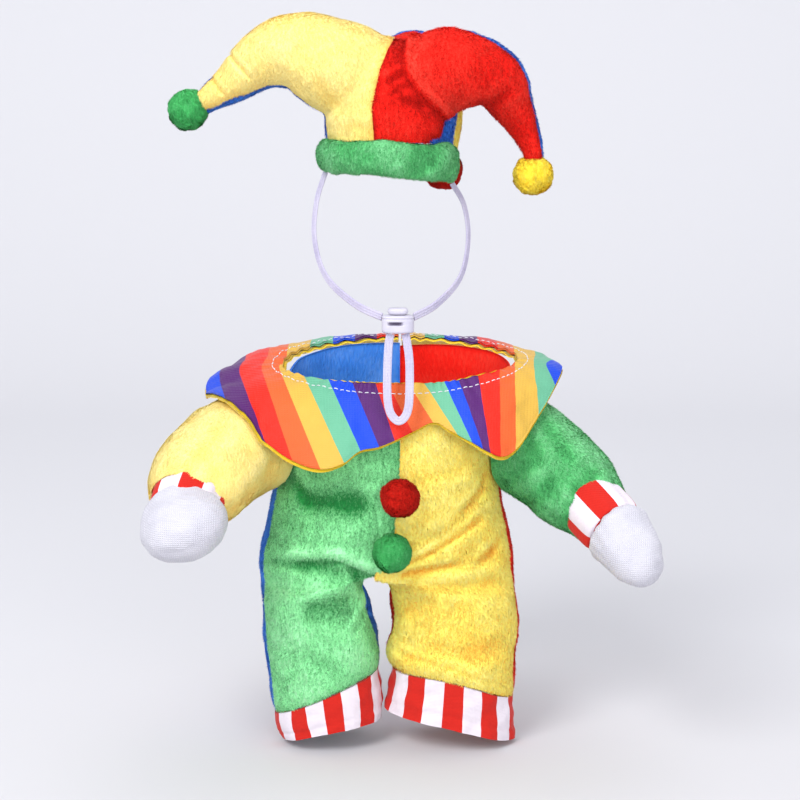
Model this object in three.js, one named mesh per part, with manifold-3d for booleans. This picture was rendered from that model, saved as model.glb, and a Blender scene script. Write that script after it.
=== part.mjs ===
// A jester costume for a small pet, in millimetres, with +Z up and the front towards -Y.
// The origin is the middle of the neck opening, where the wearer's neck carries the suit.
import * as THREE from 'three';
import { mergeVertices } from 'three/addons/utils/BufferGeometryUtils.js';
import Module from 'manifold-3d';

const wasm = await Module();
wasm.setup();

// Driving dimensions
const GAP = 0.3; // between two pieces at a seam
const LAYER_GAP = 0.8; // between the collar's two layers
const SEAT_GAP = 0.7; // round what is sewn onto the body's curved cloth
const PLUSH = 3; // plush with its pile
const SATIN = 1;
const COTTON = 1.6; // two layers of woven cotton
const NECK_WIDTH = 58.5; // half width of the collar's neck edge
const NECK_DEPTH = 42.5;
const LINING_EDGE = 0.035; // how far the lining passes the satin, as a share of the collar's reach
const SIDE_SEAM_LEFT = 160; // degrees round the body from the inner side, over the front
const SIDE_SEAM_RIGHT = 170;
const POMPOM_RADIUS = 9.6;
const HAT_POMPOM_RADIUS = 10.2;
const BAND_WIDTH = 31.2; // half width to the middle of the hat band's roll
const BAND_DEPTH = 34;
const BAND_CENTRE = [-5.6, 0];
const BAND_ROLL = 4.8; // half thickness of the roll
const BAND_MIDDLE = 112.6; // height of the roll's middle, which is lower at the right and the back
const BAND_HEIGHT = 8.9; // half height of the roll, which is more at the right
const ELASTIC = [1.4, 4]; // thickness and width of the flat elastic
const SEAM_EASE = 9; // how far from a centre seam its straight wall reaches

const GREEN = '#3ca555';
const YELLOW = '#ffdc5f';
const RED = '#d21a12';
const BLUE = '#2d6ee6';
const ORANGE = '#ff7a41';
const WHITE = '#f0f0f6';

// Rows of the suit's body from neck to hem. Heights and places are in mm: `inner` and `outer` are the
// heights at the centre or inseam and at the side, `seam` and `side` the x there, `front`, `back` and
// `middle` the y of the front, the back and the line between them. `start` and `end` are degrees round
// the row where its cloth starts and stops, `bow` lifts its front middle and `rise` its back.
// A row that leaves columns out goes all the way round the line y = 0.
const LEVEL_RING = { middle: 0, start: 0, end: 360, bow: 0, rise: 0 };
const LEFT_ROWS = [
  {
    inner: 5, outer: 7.4, seam: 0, side: -57.2, front: -40.4, back: 41.6,
    start: 90, end: 270, bow: -0.6, rise: 10.6,
  },
  { inner: -8, outer: -5, seam: 0, side: -57, front: -43, back: 43, start: 90, end: 270, rise: 8 },
  { inner: -24, outer: -22, seam: 0, side: -59, front: -45.5, back: 45, start: 90, end: 270, rise: 4 },
  { inner: -40, outer: -40, seam: -0.4, side: -61.5, front: -46, back: 45, start: 90, end: 262 },
  { inner: -54, outer: -56, seam: -1.6, side: -65, front: -45.5, back: 44, start: 90, end: 232 },
  { inner: -68, outer: -72, seam: -3, side: -68.5, front: -44, back: 42, start: 90, end: 222 },
  { inner: -80, outer: -87, seam: -7.5, side: -71.5, front: -42, back: 39, middle: -1, start: 90, end: 226 },
  { inner: -88.5, outer: -98, seam: -12, side: -70.8, front: -40, back: 35, middle: -3, start: 90, end: 238 },
  {
    inner: -92.5, outer: -105, seam: -16.5, side: -70.3, front: -39, back: 29,
    middle: -6, start: 55, end: 264,
  },
  { inner: -101, outer: -113, seam: -16, side: -69.8, front: -38, back: 22, middle: -9, start: 24, end: 318 },
  {
    inner: -112, outer: -122, seam: -14.2, side: -69.5, front: -37, back: 19,
    middle: -10, start: 14, end: 374,
  },
  {
    inner: -124, outer: -135, seam: -10.8, side: -68.6, front: -36.5, back: 17,
    middle: -10, start: 4, end: 364,
  },
  { inner: -133, outer: -149, seam: -9.6, side: -66.4, front: -36, back: 16, middle: -10 },
  { inner: -141.5, outer: -164.5, seam: -9.2, side: -65.1, front: -35, back: 15, middle: -10, bow: 1 },
].map((row) => ({ ...LEVEL_RING, ...row }));
const RIGHT_ROWS = [
  {
    inner: 5, outer: 9.4, seam: 0, side: 57.2, front: -40.4, back: 41.6,
    start: 90, end: 270, bow: -1.2, rise: 9.4,
  },
  { inner: -8, outer: -5, seam: 0, side: 54.4, front: -43, back: 43, start: 90, end: 270, rise: 8 },
  { inner: -24, outer: -22, seam: 0, side: 52.4, front: -45.5, back: 45, start: 90, end: 270, rise: 4 },
  { inner: -40, outer: -40, seam: -0.4, side: 50.5, front: -46, back: 45, start: 90, end: 262 },
  { inner: -54, outer: -56, seam: -1.6, side: 51.6, front: -45.5, back: 44, start: 90, end: 232 },
  { inner: -68, outer: -71, seam: -3, side: 54.8, front: -44, back: 42, start: 90, end: 222 },
  { inner: -80, outer: -85, seam: -7.5, side: 57.3, front: -42, back: 39, middle: -1, start: 90, end: 226 },
  { inner: -88.5, outer: -98, seam: -12, side: 58.6, front: -40, back: 35, middle: -3, start: 90, end: 238 },
  { inner: -91.5, outer: -105, seam: -9, side: 59.2, front: -39, back: 29, middle: -6, start: 55, end: 264 },
  { inner: -99, outer: -112, seam: -6.6, side: 60, front: -38, back: 22, middle: -9, start: 24, end: 318 },
  {
    inner: -110, outer: -120, seam: -4.6, side: 60.1, front: -37.5, back: 19,
    middle: -10, start: 14, end: 374,
  },
  {
    inner: -122, outer: -132, seam: -4.8, side: 59.3, front: -37.5, back: 17,
    middle: -10, start: 4, end: 364, bow: 1,
  },
  { inner: -132, outer: -145, seam: -7.8, side: 58.6, front: -37.5, back: 16, middle: -10, bow: 3 },
  { inner: -141, outer: -156, seam: -6, side: 58.4, front: -36.5, back: 15, middle: -10, bow: 5 },
].map((row) => ({ ...LEVEL_RING, ...row }));

// The cotton cuffs below the hems, in the same columns
const LEFT_CUFF_ROWS = [
  { inner: -142, outer: -165, seam: -10.6, side: -64, front: -33.8, back: 13.8, middle: -10, bow: 1 },
  { inner: -155, outer: -172, seam: -9.2, side: -63, front: -34, back: 14, middle: -10, bow: 1.5 },
  { inner: -167.5, outer: -178, seam: -9.2, side: -60.5, front: -34.5, back: 14.5, middle: -10, bow: 2.5 },
].map((row) => ({ ...LEVEL_RING, ...row }));
const RIGHT_CUFF_ROWS = [
  { inner: -141.5, outer: -156.5, seam: -4.4, side: 57, front: -35.3, back: 13.8, middle: -10, bow: 5 },
  { inner: -152, outer: -168, seam: -6, side: 57.4, front: -35.4, back: 14.5, middle: -10, bow: 4.5 },
  { inner: -162.5, outer: -179, seam: -8, side: 58, front: -35.6, back: 15, middle: -10, bow: 3, rise: -4 },
].map((row) => ({ ...LEVEL_RING, ...row }));

// The largest folds of the front: troughs between two places, x and z in mm
const LEFT_FOLDS = [
  { x0: -60, z0: -44, x1: -44, z1: -53, width: 5, depth: 2.4 },
  { x0: -48, z0: -46, x1: -24, z1: -51, width: 7, depth: 2.2 },
  { x0: -64, z0: -81, x1: -15, z1: -91, width: 5, depth: 3.4 },
  { x0: -29, z0: -88, x1: -20, z1: -103, width: 4, depth: 1.8 },
  { x0: -43, z0: -107, x1: -24, z1: -112, width: 6, depth: 2.2 },
];
const RIGHT_FOLDS = [
  { x0: 2, z0: -76, x1: 38, z1: -61, width: 4.5, depth: 2.6 },
  { x0: 5, z0: -87, x1: 28, z1: -84, width: 4, depth: 1.8 },
  { x0: 44, z0: -42, x1: 31, z1: -59, width: 4.5, depth: 2.2 },
  { x0: 53, z0: -65, x1: 45, z1: -81, width: 5, depth: 2.2 },
  { x0: 2, z0: -128, x1: 46, z1: -131, width: 6, depth: 1.6 },
];

// The collar's outer edge, and the height of the neck edge it starts from, from the back round the left
const COLLAR_ROWS = [
  { x: -1.2, y: 78, z: 10, neck: 19, arch: 3 },
  { x: -24, y: 77, z: 8, neck: 19, arch: 3 },
  { x: -46, y: 71, z: 9, neck: 18, arch: 3 },
  { x: -66, y: 58, z: 6, neck: 17, arch: 3 },
  { x: -82, y: 38, z: 5, neck: 15.5, arch: 4 },
  { x: -92, y: 20, z: 2.5, neck: 13.5, arch: 4 },
  { x: -97.2, y: 3, z: 0.4, neck: 11, arch: 4 },
  { x: -93.5, y: -14, z: -6, neck: 10, arch: 4 },
  { x: -81.8, y: -34, z: -12, neck: 9.3, arch: 4 },
  { x: -65.6, y: -48, z: -19, neck: 8.8, arch: 3 },
  { x: -51.9, y: -57, z: -26.5, neck: 8.5, arch: 3 },
  { x: -38.5, y: -60, z: -30.3, neck: 8.2, arch: 2.5 },
  { x: -27.6, y: -58, z: -28.3, neck: 8.1, arch: 2 },
  { x: -19.1, y: -54.5, z: -22.6, neck: 8.1, arch: 1 },
  { x: -10, y: -53.5, z: -20.8, neck: 8.1, arch: 1 },
  { x: -1.9, y: -52, z: -17.8, neck: 8.1, arch: 0.5 },
  { x: 7, y: -50.5, z: -13.6, neck: 8.1, arch: 0.5 },
  { x: 16.3, y: -49.5, z: -9.6, neck: 8.1, arch: 0.5 },
  { x: 24.5, y: -51.5, z: -13.8, neck: 8.3, arch: 1 },
  { x: 37.3, y: -54, z: -20, neck: 8.8, arch: 2 },
  { x: 47.8, y: -53, z: -25.6, neck: 9.5, arch: 3 },
  { x: 56.5, y: -46, z: -22.9, neck: 10.5, arch: 3.5 },
  { x: 67.8, y: -31, z: -9.3, neck: 11.8, arch: 3 },
  { x: 77, y: -15, z: 3.5, neck: 13.2, arch: 2 },
  { x: 81, y: -1, z: 10, neck: 14, arch: 1 },
  { x: 79, y: 18, z: 9, neck: 15, arch: 2 },
  { x: 70, y: 42, z: 7, neck: 16.5, arch: 3 },
  { x: 56, y: 60, z: 9, neck: 17.8, arch: 3 },
  { x: 40, y: 72, z: 7, neck: 18.6, arch: 3 },
  { x: 20, y: 77, z: 9, neck: 19, arch: 3 },
  { x: 1.2, y: 78, z: 10, neck: 19, arch: 3 },
];

// Stuffed pieces: the middle of each section, its radius, and its height as a share of its width
const SLEEVE_LEFT = [
  { x: -40, y: 0, z: -15, radius: 21, flat: 1 },
  { x: -56, y: -3, z: -20, radius: 24.5, flat: 1 },
  { x: -70, y: -10, z: -25, radius: 26, flat: 1 },
  { x: -84, y: -24, z: -30, radius: 26.5, flat: 1 },
  { x: -93, y: -40, z: -35.5, radius: 26, flat: 1 },
  { x: -98.5, y: -55, z: -41.5, radius: 23.5, flat: 1 },
  { x: -100.6, y: -65, z: -47, radius: 18.8, flat: 1 },
];
const SLEEVE_RIGHT = [
  { x: 34, y: 4, z: -14, radius: 21, flat: 1 },
  { x: 48, y: 0, z: -21, radius: 24, flat: 1 },
  { x: 60, y: -7, z: -28.5, radius: 24.5, flat: 1 },
  { x: 73, y: -17, z: -36.5, radius: 23.5, flat: 1 },
  { x: 84, y: -29, z: -44.5, radius: 22.5, flat: 1 },
  { x: 92, y: -39, z: -51.2, radius: 21, flat: 1 },
  { x: 97.3, y: -46.5, z: -56, radius: 18.5, flat: 1 },
];
const CUFF_LENGTH = 6;
const CUFF_LEFT = { start: 18, end: 17.4 }; // radii
const CUFF_RIGHT = { start: 17.8, end: 17.2 };
const MITT_ROOT = 5; // how far a mitt runs straight on from its cuff
const MITT_LEFT = [
  { x: -101.6, y: -86, z: -55.8, radius: 20.8, flat: 0.8 },
  { x: -101.4, y: -96, z: -57.6, radius: 20, flat: 0.78 },
  { x: -102.2, y: -104.6, z: -59.4, radius: 14.5, flat: 0.78 },
  { x: -102.6, y: -109, z: -60.4, radius: 6, flat: 0.8 },
];
const MITT_RIGHT = [
  { x: 108.6, y: -62, z: -66.4, radius: 18, flat: 0.86 },
  { x: 114.4, y: -69, z: -72, radius: 16.2, flat: 0.84 },
  { x: 119, y: -74.5, z: -76.4, radius: 11.4, flat: 0.84 },
  { x: 121.2, y: -77, z: -78.6, radius: 4.6, flat: 0.85 },
];

// The hat: sections of the crown from the band up, and of the horns from the crown out
const CROWN_ROWS = [
  { z: 112, x: -5.4, width: 31.4, depth: 34 },
  { z: 124, x: -5.2, width: 32, depth: 34.5 },
  { z: 136, x: -4.6, width: 33, depth: 34 },
  { z: 148, x: -4, width: 31, depth: 32 },
  { z: 159, x: -3, width: 27, depth: 28 },
  { z: 168, x: -2.5, width: 19, depth: 20 },
  { z: 172.8, x: -2.5, width: 9, depth: 10 },
];
const HORN_LEFT = [
  { x: -12, y: -2, z: 151, radius: 22, flat: 1 },
  { x: -29, y: -2.5, z: 156.5, radius: 26.5, flat: 0.9 },
  { x: -49.6, y: -1.5, z: 164.3, radius: 22.3, flat: 0.9 },
  { x: -65.3, y: 0, z: 161.6, radius: 18, flat: 0.9 },
  { x: -80.5, y: 1, z: 151, radius: 12.2, flat: 0.92 },
  { x: -94.5, y: 1, z: 141.6, radius: 7.4, flat: 1 },
  { x: -103.6, y: 1, z: 136.4, radius: 6.2, flat: 1 },
];
const HORN_RIGHT = [
  { x: 6, y: -9, z: 153, radius: 11, flat: 1 },
  { x: 12, y: -9.5, z: 155, radius: 18.5, flat: 0.95 },
  { x: 25.2, y: -8, z: 156.6, radius: 21.6, flat: 0.95 },
  { x: 45.2, y: -4, z: 152, radius: 17.4, flat: 0.95 },
  { x: 54.4, y: 0, z: 139, radius: 12.6, flat: 0.95 },
  { x: 61.3, y: 2, z: 126.6, radius: 8.8, flat: 1 },
  { x: 65.4, y: 2, z: 114.6, radius: 6.2, flat: 1 },
  { x: 65.5, y: 2, z: 104.6, radius: 5.6, flat: 1 },
];
const HORN_BACK = [
  { x: -1, y: 8, z: 152, radius: 20, flat: 1 },
  { x: 7, y: 27, z: 156, radius: 19.5, flat: 1 },
  { x: 16, y: 44, z: 148.5, radius: 16, flat: 1 },
  { x: 21.8, y: 54, z: 132, radius: 12, flat: 1 },
  { x: 23.4, y: 57, z: 116, radius: 8, flat: 1 },
  { x: 22.4, y: 57, z: 103, radius: 5.8, flat: 1 },
];
// Where the seam between the hat's front and back panels lies: y at places seen from the front
const HAT_SEAM = [
  { x: -104, z: 150, y: 3 },
  { x: -94, z: 134, y: -2.5 },
  { x: -80, z: 165, y: 5 },
  { x: -79, z: 139, y: -4.5 },
  { x: -50, z: 187, y: 6 },
  { x: -55, z: 144, y: -6 },
  { x: -40, z: 122, y: -5 },
  { x: -8, z: 175, y: 2 },
  { x: 10, z: 177, y: -2 },
  { x: 38, z: 178, y: -8 },
  { x: 59, z: 157, y: -5 },
  { x: 72, z: 124, y: -1 },
  { x: 57, z: 118, y: 4 },
  { x: 40, z: 136, y: 4 },
  { x: 31, z: 138, y: -3 },
  { x: 24, z: 128, y: -17 },
  { x: 15, z: 120, y: -26 },
];
// The seam between the front panels, seen from the front
const HAT_FRONT_SEAM = [
  { z: 100, x: -12.4 },
  { z: 122, x: -12.8 },
  { z: 140, x: -13.8 },
  { z: 157, x: -10 },
  { z: 168, x: -5.8 },
  { z: 176, x: -1 },
  { z: 200, x: 2 },
];

// Routes of the elastic
const STRAP_LEFT = [
  [-36.6, 2, 106.1], [-41, 0, 92], [-42, -6, 74], [-36, -20, 57], [-22, -37, 46], [-8.6, -48.2, 41],
];
const STRAP_RIGHT = [
  [25.6, 2, 100.5], [31.5, 0, 90], [33.5, -6, 74], [29.5, -20, 57], [18, -37, 46], [6.6, -48.2, 41],
];
const CHIN_LOOP = [
  [-4.6, -51, 33.2], [-5.6, -52.2, 25.7], [-6.1, -55.4, 9.5], [-5.6, -57, 0.5], [-4, -57.8, -4.6],
  [-0.8, -58.2, -7.4], [2.4, -57.8, -5.4], [4.2, -57, 0.5], [4.6, -54.6, 14], [4.2, -53, 23.4],
  [2.6, -51, 33.2],
];
const TOGGLE_CENTRE = [-1, -50, 37.9];
const TOGGLE_SIZE = [15.4, 9, 8.6];
const BUTTON_SIZE = [9.8, 7, 3.2];

const root = new THREE.Group();
const radians = (degrees) => THREE.MathUtils.degToRad(degrees);
const vector = (point) => new THREE.Vector3(...point);

// The columns of a table at a place between its rows, by a smooth curve through them
function between(rows, place) {
  const last = rows.length - 1;
  const row = Math.min(Math.max(Math.floor(place), 0), last - 1);
  const t = place - row;
  const at = (index) => rows[Math.min(Math.max(index, 0), last)];
  const [a, b, c, d] = [at(row - 1), at(row), at(row + 1), at(row + 2)];
  const mixed = {};
  for (const key of Object.keys(b)) {
    const bend = 2 * a[key] - 5 * b[key] + 4 * c[key] - d[key];
    const twist = -a[key] + 3 * b[key] - 3 * c[key] + d[key];
    mixed[key] = b[key] + 0.5 * t * (c[key] - a[key] + t * (bend + t * twist));
  }
  return mixed;
}

// A closed solid from points and faces, with its faces turned outwards
function solid(points, faces) {
  let volume = 0;
  const cross = new THREE.Vector3();
  for (const [a, b, c] of faces) {
    volume += points[a].dot(cross.crossVectors(points[b], points[c]));
  }
  const outward = volume < 0 ? faces.map(([a, b, c]) => [a, c, b]) : faces;
  return { points, faces: outward };
}

function quad(faces, a, b, c, d) {
  faces.push([a, b, c], [a, c, d]);
}

// A cloth wall between an outer and an inner grid of points; `round` closes each row on itself
function wall(outer, inner, round) {
  const rows = outer.length;
  const columns = outer[0].length;
  const points = [...outer.flat(), ...inner.flat()];
  const out = (r, c) => r * columns + (c % columns);
  const into = (r, c) => rows * columns + out(r, c);
  const faces = [];
  const steps = round ? columns : columns - 1;
  for (let c = 0; c < steps; c++) {
    for (let r = 0; r < rows - 1; r++) {
      quad(faces, out(r, c), out(r, c + 1), out(r + 1, c + 1), out(r + 1, c));
      quad(faces, into(r, c), into(r + 1, c), into(r + 1, c + 1), into(r, c + 1));
    }
    quad(faces, out(0, c + 1), out(0, c), into(0, c), into(0, c + 1));
    quad(faces, out(rows - 1, c), out(rows - 1, c + 1), into(rows - 1, c + 1), into(rows - 1, c));
  }
  for (let r = 0; !round && r < rows - 1; r++) {
    quad(faces, out(r, 0), out(r + 1, 0), into(r + 1, 0), into(r, 0));
    const end = columns - 1;
    quad(faces, out(r + 1, end), out(r, end), into(r, end), into(r + 1, end));
  }
  return solid(points, faces);
}

// A stuffed solid through closed rings, with flat ends
function stuffed(rings) {
  const sides = rings[0].length;
  const points = rings.flat();
  const faces = [];
  const at = (r, c) => r * sides + (c % sides);
  for (let r = 0; r < rings.length - 1; r++) {
    for (let c = 0; c < sides; c++) {
      quad(faces, at(r, c), at(r, c + 1), at(r + 1, c + 1), at(r + 1, c));
    }
  }
  for (const [r, turned] of [[0, true], [rings.length - 1, false]]) {
    const middle = rings[r].reduce((sum, p) => sum.add(p), new THREE.Vector3()).divideScalar(sides);
    points.push(middle);
    for (let c = 0; c < sides; c++) {
      const [a, b] = turned ? [at(r, c + 1), at(r, c)] : [at(r, c), at(r, c + 1)];
      faces.push([a, b, points.length - 1]);
    }
  }
  return solid(points, faces);
}

// Rings across a curve through the rows' middles; `shrink` takes the cloth's thickness off each
function tubeRings(rows, sides, steps, shrink = 0) {
  const place = (t) => {
    const row = between(rows, t);
    return new THREE.Vector3(row.x, row.y, row.z);
  };
  const rings = [];
  const level = new THREE.Vector3(0, 0, 1).cross(place(0.05).sub(place(0)));
  for (let step = 0; step <= steps; step++) {
    const t = (step / steps) * (rows.length - 1);
    const row = between(rows, t);
    const along = place(t + 0.05).sub(place(t - 0.05)).normalize();
    level.addScaledVector(along, -level.dot(along)).normalize();
    const upward = along.clone().cross(level);
    const radius = row.radius - shrink;
    const ring = [];
    for (let side = 0; side < sides; side++) {
      const angle = (side / sides) * 2 * Math.PI;
      const point = place(t).addScaledVector(level, radius * Math.cos(angle));
      ring.push(point.addScaledVector(upward, radius * row.flat * Math.sin(angle)));
    }
    rings.push(ring);
  }
  return rings;
}

function toManifold({ points, faces }) {
  const vertProperties = new Float32Array(points.flatMap((p) => [p.x, p.y, p.z]));
  const triVerts = new Uint32Array(faces.flat());
  return new wasm.Manifold(new wasm.Mesh({ numProp: 3, vertProperties, triVerts }));
}

// The points and faces of a cut body, without the slivers that a cut leaves beside it
function fromManifold(body) {
  const mesh = body.getMesh();
  const points = [];
  for (let i = 0; i < mesh.vertProperties.length; i += mesh.numProp) {
    points.push(new THREE.Vector3(...mesh.vertProperties.slice(i, i + 3)));
  }
  const group = points.map((_, index) => index);
  const find = (index) => {
    while (group[index] !== index) {
      group[index] = group[group[index]];
      index = group[index];
    }
    return index;
  };
  const faces = [];
  for (let i = 0; i < mesh.triVerts.length; i += 3) {
    const [a, b, c] = mesh.triVerts.slice(i, i + 3);
    faces.push([a, b, c]);
    group[find(a)] = find(b);
    group[find(b)] = find(c);
  }
  const counts = new Map();
  for (const [a] of faces) {
    counts.set(find(a), (counts.get(find(a)) ?? 0) + 1);
  }
  const [main] = [...counts.entries()].sort((a, b) => b[1] - a[1])[0];
  return { points, faces: faces.filter(([a]) => find(a) === main) };
}

function add(name, shape, colour, roughness = 0.9) {
  const geometry = new THREE.BufferGeometry();
  const coordinates = shape.points.flatMap((p) => [p.x, p.y, p.z]);
  geometry.setAttribute('position', new THREE.Float32BufferAttribute(coordinates, 3));
  geometry.setIndex(shape.faces.flat());
  addMesh(name, geometry, colour, roughness);
}

function addMesh(name, geometry, colour, roughness) {
  const material = new THREE.MeshStandardMaterial({ color: colour, roughness, metalness: 0 });
  const mesh = new THREE.Mesh(geometry, material);
  mesh.name = name;
  root.add(mesh);
}

// Height of the cloth over a place of the front, less than 0 in a trough
function foldAt(folds, x, z) {
  let height = 0;
  for (const fold of folds) {
    const [dx, dz] = [fold.x1 - fold.x0, fold.z1 - fold.z0];
    const along = ((x - fold.x0) * dx + (z - fold.z0) * dz) / (dx * dx + dz * dz);
    const t = THREE.MathUtils.clamp(along, 0, 1);
    const away = Math.hypot(x - fold.x0 - t * dx, z - fold.z0 - t * dz) / fold.width;
    height -= fold.depth * Math.exp(-away * away);
  }
  return height;
}

// A place on the suit's body: `place` counts rows from the neck, `turn` is in degrees round the row
function bodyPoint(rows, folds, place, turn, sidewards) {
  const row = between(rows, place);
  const opening = Math.cos(radians(Math.min(Math.max(row.start, 0), 90)));
  const seam = row.seam + (sidewards * GAP) / 2;
  const centre = (seam + row.side * opening) / (1 + opening);
  const width = Math.abs(row.side - centre);
  const [c, s] = [Math.cos(radians(turn)), Math.sin(radians(turn))];
  const x = centre - sidewards * width * c;
  const depth = s > 0 ? row.middle - row.front : row.back - row.middle;
  const across = THREE.MathUtils.clamp((x - seam) / (row.side - seam), 0, 1);
  let z = row.inner + (row.outer - row.inner) * across;
  z += row.bow * Math.max(s, 0) * 4 * across * (1 - across);
  z += row.rise * Math.max(-s, 0) ** 2;
  const fold = foldAt(folds, x, z) * Math.max(s, 0) ** 0.5;
  return new THREE.Vector3(x, row.middle - (depth + fold) * s, z);
}

// The direction that faces out of the body there
function bodyNormal(rows, folds, place, turn, sidewards) {
  const near = (p, t) => bodyPoint(rows, folds, p, t, sidewards);
  const down = near(place + 0.04, turn).sub(near(place - 0.04, turn));
  const round = near(place, turn + 1).sub(near(place, turn - 1));
  const normal = round.cross(down).multiplyScalar(-sidewards).normalize();
  // Beside the centre seams the wall is straight, so that the left and right panels meet edge to edge
  const row = between(rows, place);
  const straight = THREE.MathUtils.clamp((row.start - 55) / 35, 0, 1);
  const beside = THREE.MathUtils.clamp(Math.abs(near(place, turn).x - row.seam) / SEAM_EASE, 0, 1);
  normal.x *= 1 - straight * (1 - beside);
  return normal.normalize();
}

// One panel of the body: `span` gives where each row starts and stops
function bodyPanel(rows, folds, sidewards, span, places, columns, thickness) {
  const outer = [];
  const inner = [];
  for (const place of places) {
    const [from, to] = span(between(rows, place));
    const line = [];
    const behind = [];
    for (let c = 0; c <= columns; c++) {
      const turn = from + ((to - from) * c) / columns;
      const point = bodyPoint(rows, folds, place, turn, sidewards);
      const normal = bodyNormal(rows, folds, place, turn, sidewards);
      line.push(point);
      behind.push(point.clone().addScaledVector(normal, -thickness));
    }
    outer.push(line);
    inner.push(behind);
  }
  return wall(outer, inner, false);
}

const HALF_GAP_TURN = 0.35; // degrees that leave the seam gap between a front and a back panel

// Places along the rows, closer together where the folds and the crotch bend the cloth
function steps(from, to, step) {
  return Array.from({ length: Math.round((to - from) / step) }, (_, index) => from + index * step);
}
const FRONT_PLACES = [
  ...steps(0, 2, 1), ...steps(2, 7, 0.5), ...steps(7, 10, 1 / 3), ...steps(10, 13, 0.6), 13,
];
const BACK_PLACES = [...steps(0, 3, 1), ...steps(3, 7, 0.5), ...steps(7, 10, 0.25), ...steps(10, 13, 1), 13];

function suitBody() {
  const sides = [
    ['left', -1, LEFT_ROWS, LEFT_FOLDS, SIDE_SEAM_LEFT, GREEN, BLUE],
    ['right', 1, RIGHT_ROWS, RIGHT_FOLDS, SIDE_SEAM_RIGHT, YELLOW, RED],
  ];
  for (const [name, sidewards, rows, folds, seam, front, back] of sides) {
    const frontSpan = (row) => [row.start > 89 ? row.start : row.start + HALF_GAP_TURN, seam - HALF_GAP_TURN];
    const lastTurn = (row) => (row.start > 89 ? 270 : 360 + row.start - HALF_GAP_TURN);
    const backSpan = (row) => [seam + HALF_GAP_TURN, Math.min(row.end, lastTurn(row))];
    add(`front_${name}`, bodyPanel(rows, folds, sidewards, frontSpan, FRONT_PLACES, 10, PLUSH), front);
    add(`back_${name}`, bodyPanel(rows, folds, sidewards, backSpan, BACK_PLACES, 7, PLUSH), back);
  }
}

const ENVELOPE_ROWS = 7.01; // the rows of the upper body, above the crotch
const ENVELOPE_TURN = 7.5; // degrees

// A solid of the whole upper body, grown by a clearance, which shapes what is sewn onto it
function bodyEnvelope(clearance) {
  const rings = [];
  for (let place = 0; place <= ENVELOPE_ROWS; place += 0.2) {
    const ring = [];
    const side = (rows, folds, sidewards, turn) => {
      const point = bodyPoint(rows, folds, place, turn, sidewards);
      ring.push(point.addScaledVector(bodyNormal(rows, folds, place, turn, sidewards), clearance));
    };
    for (let turn = 90; turn < 270; turn += ENVELOPE_TURN) {
      side(LEFT_ROWS, LEFT_FOLDS, -1, turn);
    }
    for (let turn = 270; turn > 90; turn -= ENVELOPE_TURN) {
      side(RIGHT_ROWS, RIGHT_FOLDS, 1, turn);
    }
    rings.push(ring);
  }
  return toManifold(stuffed(rings));
}

function legCuffs() {
  const columns = 24;
  const cuffs = [
    ['left', -1, LEFT_CUFF_ROWS],
    ['right', 1, RIGHT_CUFF_ROWS],
  ];
  for (const [name, sidewards, rows] of cuffs) {
    const outer = [];
    const inner = [];
    for (let place = 0; place <= 2; place++) {
      const line = [];
      const behind = [];
      for (let c = 0; c < columns; c++) {
        const turn = (c * 360) / columns;
        const point = bodyPoint(rows, [], place, turn, sidewards);
        const normal = bodyNormal(rows, [], place, turn, sidewards);
        line.push(point);
        behind.push(point.clone().addScaledVector(normal, -COTTON));
      }
      outer.push(line);
      inner.push(behind);
    }
    add(`leg_cuff_${name}`, wall(outer, inner, true), WHITE, 0.8);
  }
}

// Moves a point out of a stuffed sleeve, to lie a clearance above it
function restOn(point, rows, clearance) {
  let nearest = Infinity;
  const middle = new THREE.Vector3();
  let reach = 0;
  for (let t = 0; t <= rows.length - 1; t += 0.1) {
    const row = between(rows, t);
    const centre = new THREE.Vector3(row.x, row.y, row.z);
    const share = centre.distanceTo(point) / (row.radius + clearance);
    if (share < nearest) {
      nearest = share;
      reach = row.radius + clearance;
      middle.copy(centre);
    }
  }
  if (nearest < 1) {
    point.sub(middle).setLength(reach).add(middle);
  }
  return point;
}

const COLLAR_CLEARANCE = 4.8; // from the sleeve to the satin's outer face, over the lining

// A place on the satin: `place` counts the collar's rows, `reach` runs from the neck to the edge
function collarPoint(place, reach) {
  const row = between(COLLAR_ROWS, place);
  const angle = Math.atan2(row.y / NECK_DEPTH, row.x / NECK_WIDTH);
  const neck = new THREE.Vector3(NECK_WIDTH * Math.cos(angle), NECK_DEPTH * Math.sin(angle), row.neck);
  const point = neck.lerp(new THREE.Vector3(row.x, row.y, row.z), reach);
  const lift = row.arch * Math.sin(Math.PI * THREE.MathUtils.clamp(reach, 0, 1));
  point.z += lift;
  point.x += lift * 0.5 * Math.cos(angle);
  point.y += lift * 0.5 * Math.sin(angle);
  restOn(point, SLEEVE_LEFT, COLLAR_CLEARANCE);
  return restOn(point, SLEEVE_RIGHT, COLLAR_CLEARANCE);
}

// One layer of the collar, `under` the satin's face, which passes its edges by a share of its reach
function collarLayer(name, colour, roughness, under, past) {
  const ends = COLLAR_ROWS.length - 1;
  const columns = 46;
  const outer = [];
  const inner = [];
  for (const reach of [-past, 0.25, 0.5, 0.75, 1 + past]) {
    const line = [];
    const behind = [];
    for (let c = 0; c <= columns; c++) {
      const place = (c / columns) * ends;
      const out = collarPoint(place, reach + 0.03).sub(collarPoint(place, reach - 0.03));
      const round = collarPoint(place + 0.1, reach).sub(collarPoint(place - 0.1, reach));
      const normal = out.cross(round).normalize();
      const point = collarPoint(place, reach);
      line.push(point.clone().addScaledVector(normal, -under));
      behind.push(point.clone().addScaledVector(normal, -under - SATIN));
    }
    outer.push(line);
    inner.push(behind);
  }
  add(name, wall(outer, inner, false), colour, roughness);
}

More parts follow.
